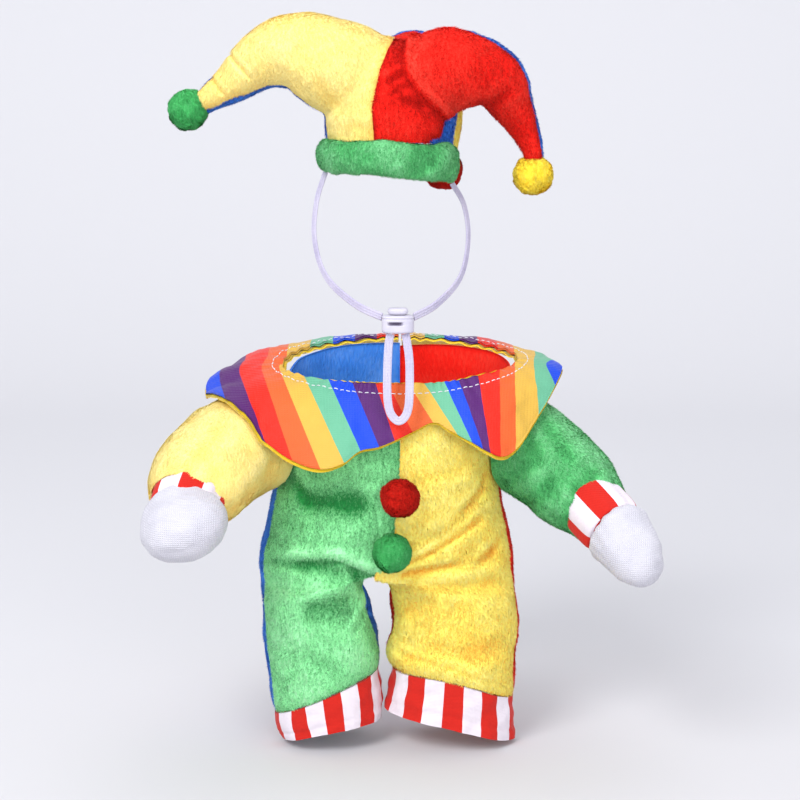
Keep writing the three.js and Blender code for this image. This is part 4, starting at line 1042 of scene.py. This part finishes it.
def collar_point(place, reach):
    """A place on the collar: place counts rows round it, and reach is 0 at its neck edge and 1 at its rim."""
    x, y, z, neck, arch = np.moveaxis(between(COLLAR_ROWS, place), -1, 0)
    angle = np.arctan2(y / NECK_DEPTH, x / NECK_WIDTH)
    start = np.stack([NECK_WIDTH * np.cos(angle), NECK_DEPTH * np.sin(angle), neck], -1)
    edge = np.stack([x, y, z], -1)
    points = start + (edge - start) * reach[..., None]
    lift = arch * np.sin(np.pi * np.clip(reach, 0, 1))
    points = points + np.stack([lift * 0.5 * np.cos(angle), lift * 0.5 * np.sin(angle), lift], -1)
    return rest_on(rest_on(points, SLEEVE_LEFT), SLEEVE_RIGHT)


def collar_grid(past):
    """The points, normals, reaches and places of a layer of the collar that goes past its edges."""
    reach = np.linspace(-past, 1 + past, 26)
    place = np.linspace(0, len(COLLAR_ROWS) - 1, 300)
    reaches, places = np.meshgrid(reach, place, indexing="ij")
    out = collar_point(places, reaches + 0.03) - collar_point(places, reaches - 0.03)
    around = collar_point(places + 0.1, reaches) - collar_point(places - 0.1, reaches)
    return collar_point(places, reaches), unit(np.cross(out, around)), reaches, places


STITCH_IN, STITCH_LENGTH, STITCH_STEP, STITCH_RADIUS = 5.2, 2.2, 3.3, 0.26
STITCH_RINGS = 7


def collar_stitches(outer, normals):
    """White stitches along the collar, at an even distance from its neck edge."""
    rows, columns = outer.shape[:2]
    reached = np.cumsum(np.linalg.norm(np.diff(outer, axis=0), axis=-1), 0)
    row = np.array([np.interp(STITCH_IN, reached[:, k], np.arange(1, rows)) for k in range(columns)])
    low = row.astype(int)
    share = (row - low)[:, None]
    index = np.arange(columns)
    line = outer[low, index] * (1 - share) + outer[low + 1, index] * share
    facing = unit(normals[low, index])
    arc = np.append(0, np.cumsum(np.linalg.norm(np.diff(line, axis=0), axis=-1)))
    bodies, triangles, count = [], [], 0
    turn = full_turn(6)[:, None]
    for begin in np.arange(STITCH_STEP, arc[-1] - STITCH_STEP, STITCH_STEP):
        places = begin + np.linspace(0, STITCH_LENGTH, STITCH_RINGS)
        path, up = (np.stack([np.interp(places, arc, values[:, k]) for k in range(3)], -1)
                    for values in (line, facing))
        up = unit(up)
        path = path + up * (0.14 - 0.4 * np.linspace(-1, 1, STITCH_RINGS)[:, None] ** 4)
        side = unit(np.cross(np.gradient(path, axis=0), up))
        rings = path[:, None] + STITCH_RADIUS * (np.cos(turn) * up[:, None] + np.sin(turn) * side[:, None])
        body, faces = closed_tube(rings)
        bodies.append(body)
        triangles.append(faces + count)
        count += len(body)
    piece("collar_stitches", np.concatenate(bodies), np.concatenate(triangles), THREAD)


def collar():
    layers = [
        ("collar", SATIN_STRIPES, 0.0, 0.0),
        ("collar_lining", LINING, SATIN + LAYER_GAP, LINING_EDGE),
    ]
    for name, cloth, under, past in layers:
        points, normals, reach, place = collar_grid(past)
        waves = 0.55 * np.sin(place * 9.3 + 1.5 * np.sin(place * 1.7)) * bell(reach, 0.22)
        waves += 0.5 * ripples(points, 18, 51) * np.clip(reach, 0, 1)
        waves += 0.22 * ripples(points, 7, 52)
        rounding = -0.35 * bell(1 + past - reach, 0.02)
        outer = points + normals * (waves + rounding - under)[..., None]
        inner = points + normals * (waves - rounding - under - SATIN)[..., None]
        across, down = photo_place(points)
        behind = smooth_step(-10, 12, points[..., 1])
        flat = PHOTO_SIZE / 2 + 2 * points[..., 0]
        stripe = (1 - behind) * stripe_of(across, down)
        stripe += behind * stripe_of(flat, np.full(flat.shape, BACK_STRIPES_HEIGHT))
        made = piece(f"{name}_cloth", *shell(outer, inner), cloth, name,
                     attributes={"stripe": both_sides(stripe)})
        if name == "collar":
            collar_stitches(outer, normals)


def leg_cuffs():
    columns, rings = 200, 26
    legs = [
        ("left", LEFT, LEFT_CUFF_ROWS, 9.4, 0.55),
        ("right", RIGHT, RIGHT_CUFF_ROWS, 10.2, 0.0),
    ]
    for name, side, rows, pitch, stripe_start in legs:
        places, turns = np.meshgrid(np.linspace(0, 2, rings), np.arange(columns) * 360 / columns,
                                    indexing="ij")
        points = body_point(rows, [], places, turns, side)
        normals = body_normal(rows, [], places, turns, side)
        waves = 0.5 * ripples(points, 16, 61) + 0.25 * ripples(points, 6, 62)
        hem = 0.35 * bell(places / 2 - 0.72, 0.05)
        outer = points + normals * (waves - hem)[..., None]
        inner = points + normals * (waves - COTTON + 0.2 * hem)[..., None]
        middle = body_point(rows, [], np.full(columns, 1.0), turns[0], side)
        arc = np.append(0, np.cumsum(np.linalg.norm(np.diff(middle, axis=0), axis=-1)))
        stripe = np.broadcast_to(arc / pitch + stripe_start, points.shape[:2])
        made = piece(f"leg_cuff_{name}_cloth", *shell(outer, inner, True), COTTON_STRIPES, f"leg_cuff_{name}",
                     attributes={"stripe": both_sides(stripe)})


def read_mesh(mesh):
    """The points and triangles of a mesh."""
    points, faces = np.zeros(len(mesh.vertices) * 3), np.zeros(len(mesh.polygons) * 3, int)
    mesh.vertices.foreach_get("co", points)
    mesh.polygons.foreach_get("vertices", faces)
    return points.reshape(-1, 3), faces.reshape(-1, 3)


def ball():
    """The points and triangles of a fine ball of radius 1."""
    mesh = bpy.data.meshes.new("ball")
    form = bmesh.new()
    bmesh.ops.create_icosphere(form, subdivisions=5, radius=1.0)
    form.to_mesh(mesh)
    form.free()
    made = read_mesh(mesh)
    bpy.data.meshes.remove(mesh)
    return made


def pompom(node, centre, radius, colour, seed, clear=False):
    """A pompom of short dense wool round a soft uneven ball."""
    normals, faces = ball()
    size = radius - 0.6 + 0.35 * ripples(normals * radius, 7, seed)
    size += 0.18 * ripples(normals * radius, 2.2, seed + 1)
    body = normals * size[:, None] + centre
    if clear:
        body = clear_of_body(body, 0.8)
    # The core is painted at CORE_TIP, as the shade between the wool's tufts
    made = piece(f"{node}_core", body, faces, POMPOMS[colour], node,
                 attributes={"tip": np.full(len(body), CORE_TIP), "tone": np.zeros(len(body))})
    pile(f"{node}_wool", body, normals, faces, POMPOMS[colour], seed, density=8, length=1.05, width=0.3,
         lean=0.85, swirl=3.0, nap=(0.3, 0.2, -1.0))


def front_pompoms():
    pompom("pompom_upper", np.array([0, -52.6, -46.2]), POMPOM_RADIUS, "red", 71, True)
    pompom("pompom_lower", np.array([-3.9, -50.4, -73.8]), POMPOM_RADIUS, "green", 72, True)


# The hat: one smooth form from the crown and the horns, cut into its panels along the seams
HORNS = (HORN_LEFT, HORN_RIGHT, HORN_BACK)
HAT_VOXEL = 1.15
BAND_GAP = -0.6  # from the solid band's roll to the hat's edge, which meets the cloth under the band's pile
# Creases of the hat's front: the big tuck in the right panel, its swirl, and small ones by the left tip
HAT_FRONT_CREASES = [
    (-6, 151, 2, 155, 2.4, 1.4, 1.4),
    (-4, 146, 4, 149, 2.2, 1.0, 0.9),
    (1, 143, 12, 139, 2.4, 1.2, 0.9),
    (-84, 165, -73, 153, 1.3, 1.5, 0.4),
    (-92, 152, -86, 145, 1.3, 1.3, 0.4),
    (-40, 150, -30, 138, 4, 0.8, 0.5),
    (44, 140, 52, 146, 3.0, 1.0, 0.7),
    (30, 134, 40, 141, 3.0, 1.1, 0.7),
    (-24, 130, -14, 128, 3.0, 0.6, 0.4),
]
# The tuck's edge, x and z: the cloth on its left lies deeper than on its right
TUCK_EDGE = [(5, 177), (3.4, 170), (2.2, 163), (4, 155), (9.5, 147), (18, 138.5)]
HAT_BACK_CREASES = [
    (-34, 152, -24, 138, 3.2, 1.4, 0.9),
    (-60, 168, -50, 152, 3.0, 1.1, 0.7),
    (-88, 150, -80, 142, 1.8, 0.9, 0.5),
    (30, 146, 40, 138, 3.0, 1.4, 0.9),
    (48, 140, 56, 132, 2.4, 0.9, 0.6),
    (-10, 140, 0, 134, 3.0, 1.0, 0.6),
    (12, 136, 20, 128, 2.6, 0.9, 0.6),
]


def tuck(points):
    """Height of the tucked cloth: a step along the tuck's edge that dies out to both sides."""
    x, z = points[:, 0], points[:, 2]
    nearest, side = np.full(len(points), np.inf), np.zeros(len(points))
    for start, end in zip(TUCK_EDGE[:-1], TUCK_EDGE[1:]):
        _, away, left = from_line(start + end, x, z)
        side = np.where(away < nearest, np.sign(left), side)
        nearest = np.minimum(away, nearest)
    step = smooth_step(-0.7, 0.7, side * nearest)
    raised, sunk = 1.6 * bell(nearest, 8), -2.7 * bell(nearest, 7)
    return (step * raised + (1 - step) * sunk) * np.clip(-points[:, 1] / 6, 0, 1)


def hat_seam_depth(x, z):
    """How far back the seam between the hat's front and back panels lies, seen from the front."""
    table = np.array(HAT_SEAM)
    weight = 1 / ((x[..., None] - table[:, 0]) ** 2 + (z[..., None] - table[:, 1]) ** 2 + 9) ** 1.5
    return (weight * table[:, 2]).sum(-1) / weight.sum(-1)


def front_seam_x(z):
    return np.interp(z, *np.array(HAT_FRONT_SEAM).T)


def band_centre(c, s):
    """Height of the band's middle at the turn whose cosine and sine are given."""
    return 112.6 - 1.9 * c - 2 * s


def band_half_height(c):
    return 8.9 + 0.9 * c


def clear_of_band(points):
    """Above 0 outside the band's roll, at its face 0."""
    x, y = points[:, 0] - BAND_X, points[:, 1]
    angle = np.arctan2(y / (BAND_DEPTH + 0.1), x / (BAND_WIDTH + 0.1))
    c, s = np.cos(angle), np.sin(angle)
    out = np.hypot(x, y) - np.hypot(BAND_WIDTH * c, BAND_DEPTH * s)
    height = points[:, 2] - band_centre(c, s)
    rolled = np.hypot(out / (BAND_ROLL + BAND_GAP), height / (band_half_height(c) + BAND_GAP))
    return np.where(height > 0, (rolled - 1) * BAND_ROLL, -1)


def inset(table):
    rows = np.array(table, float)
    rows[:, 3] -= PILE_INSET
    return rows


def near_horn(points, table):
    """Distance from a horn's middle line, as a share of its radius there."""
    share = np.full(len(points), np.inf)
    for row in between(table, np.arange(0, len(table) - 0.99, 0.05)):
        share = np.minimum(share, np.linalg.norm(points - row[:3], axis=1) / row[3])
    return share


def hat_form():
    """The points and triangles of the whole hat's cloth, without its band and pompoms."""
    crown_rows = np.array(CROWN_ROWS)
    crown_rows[0, 0] = 104  # down inside the band
    rings = between(crown_rows, np.linspace(0, len(crown_rows) - 1, 40))
    angle = full_turn(72)
    z, x, width, depth = (rings[:, k, None] for k in range(4))
    width, depth = width - PILE_INSET, depth - PILE_INSET
    crown = np.stack([x + width * np.cos(angle), depth * np.sin(angle), z - PILE_INSET / 2 + 0 * angle], -1)
    bodies, triangles, count = [], [], 0
    for points in [crown] + [tube(inset(table), 40, 60)[0] for table in HORNS]:
        body, faces = closed_tube(points)
        bodies.append(body)
        triangles.append(faces + count)
        count += len(body)
    mesh = bpy.data.meshes.new("hat_form")
    mesh.from_pydata(np.concatenate(bodies).tolist(), [], np.concatenate(triangles).tolist())
    form = bpy.data.objects.new("hat_form", mesh)
    bpy.context.scene.collection.objects.link(form)
    remesh = form.modifiers.new("remesh", "REMESH")
    remesh.mode = "VOXEL"
    remesh.voxel_size = HAT_VOXEL
    ease = form.modifiers.new("ease", "SMOOTH")
    ease.factor, ease.iterations = 0.5, 10
    cut = form.modifiers.new("cut", "TRIANGULATE")
    cut.quad_method = "SHORTEST_DIAGONAL"
    made = read_mesh(form.evaluated_get(bpy.context.evaluated_depsgraph_get()).to_mesh())
    form.to_mesh_clear()
    bpy.data.objects.remove(form)
    return made


def vertex_normals(points, faces):
    a, b, c = (points[faces[:, k]] for k in range(3))
    across = np.cross(b - a, c - a)
    total = np.zeros(points.shape)
    for k in range(3):
        np.add.at(total, faces[:, k], across)
    return unit(total)


def only_used(points, faces, data):
    used, index = np.unique(faces, return_inverse=True)
    return points[used], index.reshape(-1, 3), data[used]


def keep_above(points, faces, data, field):
    """The part of a mesh where a field over its points is above 0, cut clean through its triangles."""
    above = field > 0
    inside = above[faces]
    whole = faces[inside.all(1)]
    mixed = faces[inside.any(1) & ~inside.all(1)]
    made, made_points, made_data, known = [], [], [], {}
    for tri in mixed.tolist():
        up = [v for v in tri if above[v]]
        lone = [v for v in tri if above[v] == (len(up) == 1)][0]
        at = tri.index(lone)
        p, q, r = tri[at], tri[(at + 1) % 3], tri[(at + 2) % 3]
        cuts = []
        for other in (q, r):
            key = (min(p, other), max(p, other))
            if key not in known:
                share = field[key[0]] / (field[key[0]] - field[key[1]])
                known[key] = len(points) + len(made_points)
                made_points.append(points[key[0]] + share * (points[key[1]] - points[key[0]]))
                made_data.append(data[key[0]] + share * (data[key[1]] - data[key[0]]))
            cuts.append(known[key])
        if len(up) == 1:
            made.append((p, cuts[0], cuts[1]))
        else:
            made += [(cuts[0], q, r), (cuts[0], r, cuts[1])]
    points = np.concatenate([points, np.array(made_points).reshape(-1, 3)])
    data = np.concatenate([data, np.array(made_data).reshape(-1, data.shape[1])])
    return only_used(points, np.concatenate([whole, np.array(made, int).reshape(-1, 3)]), data)


def main_part(points, faces, data):
    """The largest connected part of a mesh."""
    group = np.arange(len(points))
    for _ in range(400):
        low = group[faces].min(1)
        new = group.copy()
        for k in range(3):
            np.minimum.at(new, faces[:, k], low)
        new = new[new]
        if (new == group).all():
            break
        group = new
    values, counts = np.unique(group[faces[:, 0]], return_counts=True)
    return only_used(points, faces[group[faces[:, 0]] == values[counts.argmax()]], data)


def walled(points, faces, normals, thickness):
    """A closed wall from an open sheet of triangles, which grows inwards."""
    edges = np.concatenate([faces[:, [0, 1]], faces[:, [1, 2]], faces[:, [2, 0]]])
    key = np.sort(edges, 1)
    _, first, counts = np.unique(key, axis=0, return_index=True, return_counts=True)
    border = edges[first[counts == 1]]
    count = len(points)
    a, b = border[:, 0], border[:, 1]
    sides = np.concatenate([np.stack([b, a, a + count], -1), np.stack([b, a + count, b + count], -1)])
    body = np.concatenate([points, points - normals * thickness])
    return body, outward(body, np.concatenate([faces, faces[:, ::-1] + count, sides]))


# The columns of the data over the hat's points: what is above 0 behind the side seams, right of the front
# seam, outside the back horn and clear of the band, then the painted shade and light, what is above 0 clear
# of each pompom, and the normal
BEHIND, AT_RIGHT, OFF_HORN, OFF_BAND, PAINTED_SHADING, OFF_POMPOMS = 0, 1, 2, 3, 4, (5, 6, 7)
HAT_PANELS = [
    ("hat_back_horn", "yellow", [(OFF_HORN, -1)], 91),
    ("hat_front_left", "pale_yellow", [(BEHIND, -1), (AT_RIGHT, -1)], 92),
    ("hat_front_right", "red", [(BEHIND, -1), (AT_RIGHT, 1)], 93),
    ("hat_back_left", "blue", [(BEHIND, 1), (AT_RIGHT, -1), (OFF_HORN, 1)], 94),
    ("hat_back_right", "blue", [(BEHIND, 1), (AT_RIGHT, 1), (OFF_HORN, 1)], 95),
]
HORN_SEAM_HALF = 0.02  # half the gap round the back horn, in its share of the radius
HAT_CLOTH = 1.5  # thickness


def hat():
    points, faces = hat_form()
    normals = vertex_normals(points, faces)
    front = -normals[:, 1]
    height = creases(HAT_FRONT_CREASES, points, front + 0.25)
    height += creases(HAT_BACK_CREASES, points, -front + 0.1)
    height += tuck(points)
    height += 0.3 * ripples(points, 24, 81) + 0.12 * ripples(points, 9, 82)
    band = clear_of_band(points)
    height -= 0.5 * bell(np.maximum(band, 0), 3)
    behind = points[:, 1] - hat_seam_depth(points[:, 0], points[:, 2])
    right = points[:, 0] - front_seam_x(points[:, 2])
    horn = np.maximum(near_horn(points, inset(HORN_BACK)) - 1.1, (30 - points[:, 1]) / 12)
    distance = np.minimum(np.abs(behind) / 1.6, np.abs(right))
    distance = np.where(behind > 3, np.minimum(distance, np.abs(horn) * 12), distance)
    height -= bell(distance, 2.0)
    # Painted shade in the creases and along the seams, painted light on the ridges
    tone = painted_fold_shading(height) - 0.6 * bell(distance, 1.3)
    pompoms = [np.linalg.norm(points - table[-1][:3], axis=1) - HAT_POMPOM_RADIUS + 0.4 for table in HORNS]
    data = np.concatenate([np.stack([behind, right, horn, band, tone] + pompoms, -1), normals], -1)
    points = points + normals * height[:, None]
    for column in (OFF_BAND, *OFF_POMPOMS):
        points, faces, data = main_part(*keep_above(points, faces, data, data[:, column]))
    for name, colour, sides, seed in HAT_PANELS:
        part = points, faces, data
        for column, sign in sides:
            room = HORN_SEAM_HALF if column == OFF_HORN else GAP / 2
            part = keep_above(*part, part[2][:, column] * sign - room)
        skin, skin_faces, skin_data = main_part(*part)
        skin_normals, tones = unit(skin_data[:, -3:]), skin_data[:, PAINTED_SHADING]
        wall = walled(skin, skin_faces, skin_normals, HAT_CLOTH)
        made = plush_cloth(name, *wall, both_sides(tones), colour)
        pile(f"{name}_pile", skin, skin_normals, skin_faces, PLUSHES[colour], seed, tone=tones)


def hat_band():
    turns, sides = 220, 40
    angle, around = full_turn(turns), full_turn(sides)
    c, s = np.cos(angle)[:, None], np.sin(angle)[:, None]
    out = (BAND_ROLL - PILE_INSET) * np.cos(around)
    z = band_centre(c, s) + (band_half_height(c) - PILE_INSET) * np.sin(around)
    points = np.stack([BAND_X + (BAND_WIDTH + out) * c, (BAND_DEPTH + out) * s, z], -1)
    middle = np.stack([BAND_X + BAND_WIDTH * c, BAND_DEPTH * s, band_centre(c, s)], -1)
    along, across = (np.roll(points, -1, axis) - np.roll(points, 1, axis) for axis in (0, 1))
    normals = unit(np.cross(along, across))
    normals *= np.sign(((points - middle) * normals).sum(-1).mean())
    height = 0.55 * ripples(points, 20, 96) + 0.25 * ripples(points, 8, 97)
    height -= 0.5 * bell(around - 4.5, 0.25)
    body = (points + normals * height[..., None]).reshape(-1, 3)
    faces = grid_faces(turns + 1, sides, True) % (turns * sides)
    # Painted shade in the band's hollows and painted light on its swells
    tone = painted_fold_shading(height).reshape(-1)
    made = plush_cloth("hat_band", body, outward(body, faces), tone, "deep_green")
    pile("hat_band_pile", body, normals.reshape(-1, 3), faces, PLUSHES["deep_green"], 98, tone=tone)


def hat_pompoms():
    for name, table, colour, seed in [
        ("left", HORN_LEFT, "green", 73),
        ("right", HORN_RIGHT, "yellow", 74),
        ("back", HORN_BACK, "red", 75),
    ]:
        pompom(f"hat_pompom_{name}", np.array(table[-1][:3]), HAT_POMPOM_RADIUS, colour, seed)


# The elastic's routes, in metres
STRAP_LEFT = [(-0.0366, 0.002, 0.1061), (-0.041, 0, 0.092), (-0.042, -0.006, 0.074), (-0.036, -0.020, 0.057),
              (-0.022, -0.037, 0.046), (-0.0086, -0.0482, 0.041)]
STRAP_RIGHT = [(0.0256, 0.002, 0.1005), (0.0315, 0, 0.090), (0.0335, -0.006, 0.074), (0.0295, -0.020, 0.057),
               (0.018, -0.037, 0.046), (0.0066, -0.0482, 0.041)]
CHIN_LOOP = [(-0.0046, -0.051, 0.0332), (-0.0056, -0.0522, 0.0257), (-0.0061, -0.0554, 0.0095),
             (-0.0056, -0.057, 0.0005), (-0.004, -0.0578, -0.0046), (-0.0008, -0.0582, -0.0074),
             (0.0024, -0.0578, -0.0054), (0.0042, -0.057, 0.0005), (0.0046, -0.0546, 0.014),
             (0.0042, -0.053, 0.0234), (0.0026, -0.051, 0.0332)]
ELASTIC_THICK, ELASTIC_WIDE = 1.2, 4.0


def rounded(angle, power):
    """Cosine and sine of an oval whose sides are flatter as the power is lower."""
    return [np.sign(v) * np.abs(v) ** power for v in (np.cos(angle), np.sin(angle))]


def elastic(node, route, facing):
    """A flat ribbed elastic along a route, its broad face turned to a direction."""
    path = np.array(route) / MM
    line = between(path, np.linspace(0, len(path) - 1, 24 * (len(path) - 1) + 1))
    along = unit(np.gradient(line, axis=0))
    face = np.broadcast_to(facing, line.shape)
    face = unit(face - (face * along).sum(-1, keepdims=True) * along)
    side = np.cross(along, face)
    angle = full_turn(40)
    across = rounded(angle, 0.8)[0] * ELASTIC_WIDE / 2
    ribs = 0.16 * np.cos(across * 2 * np.pi / (ELASTIC_WIDE / 3))
    thick = rounded(angle, 0.5)[1] * (ELASTIC_THICK / 2 + ribs - 0.1)
    stitch = 1 + 0.05 * np.sin(np.arange(len(line)) * 2.4)[:, None]
    points = line[:, None] + side[:, None] * across[:, None] + face[:, None] * (thick * stitch)[..., None]
    return piece(f"{node}_cloth", *closed_tube(points), ELASTIC_CLOTH, node), line * MM


OVAL_EDGE = 1.4  # rounding of the plastic pieces' ends


def oval_part(node, centre, size, slotted=False):
    """A rounded oval piece of plastic, with a groove round it and a slot in its front where it is slotted."""
    width, depth, height = size
    rise = np.linspace(-height / 2, height / 2, 40)[:, None]
    over = np.maximum(np.abs(rise) - (height / 2 - OVAL_EDGE), 0)
    pull = OVAL_EDGE - np.sqrt(np.maximum(OVAL_EDGE**2 - over**2, 0))
    if slotted:
        pull = pull + 0.4 * bell(rise - 2.6, 0.4, 4)
    c, s = rounded(full_turn(72), 0.75)
    rings = np.stack([(width / 2 - pull) * c, (depth / 2 - pull) * s, rise + 0 * c], -1)
    deep = np.zeros(rings.shape[:2])
    if slotted:
        # deep marks the inside of the slot, which the plastic paints dark as painted shade
        deep = bell(rings[..., 0] + 1.2, 3.3, 6) * bell(rings[..., 2] - 0.4, 0.75, 4) * (rings[..., 1] < 0)
        rings[..., 1] += 2.2 * deep
    return piece(f"{node}_moulding", *closed_tube(rings + centre), PLASTIC, node,
                 attributes={"deep": with_ends(deep)})


TOGGLE_CENTRE = np.array([-1, -50, 37.9])
TOGGLE_SIZE = (15.4, 9.0, 8.6)
BUTTON_SIZE = (9.8, 7.0, 3.2)


def chin_fastening():
    body = oval_part("toggle_body", TOGGLE_CENTRE, TOGGLE_SIZE, slotted=True)
    top = TOGGLE_CENTRE + [0, 0, TOGGLE_SIZE[2] / 2 + GAP + BUTTON_SIZE[2] / 2]
    button = oval_part("toggle_button", top, BUTTON_SIZE)
    for node, route, facing in [
        ("strap_left", STRAP_LEFT, (-1.0, -0.7, 0.0)),
        ("strap_right", STRAP_RIGHT, (1.0, -0.7, 0.0)),
        ("chin_loop", CHIN_LOOP, (0.0, -1.0, 0.15)),
    ]:
        made, path = elastic(node, route, facing)


TAB_LIFT = 0.3  # of the tab over its gap to the back panels


def back_closure():
    places = np.linspace(0.5, 2.6, 40)
    points, normals = [], []
    for rows, folds, side, turns in [
        (LEFT_ROWS, LEFT_FOLDS, LEFT, np.linspace(258, 264, 12)),
        (RIGHT_ROWS, RIGHT_FOLDS, RIGHT, np.linspace(264, 258, 12)),
    ]:
        grid, turn = np.meshgrid(places, turns, indexing="ij")
        points.append(body_point(rows, folds, grid, turn, side))
        normals.append(body_normal(rows, folds, grid, turn, side))
    points, normals = np.concatenate(points, 1), np.concatenate(normals, 1)
    height = 0.12 * ripples(points, 5, 99)
    outer = points + normals * (height + GAP + TAB_LIFT + COTTON)[..., None]
    inner = points + normals * (GAP + TAB_LIFT)
    made = piece("back_closure_tab", *shell(outer, inner), TAB_CLOTH, "back_closure")


suit_body()
back_closure()
leg_cuffs()
collar()
sleeves()
front_pompoms()
hat()
hat_band()
hat_pompoms()
chin_fastening()
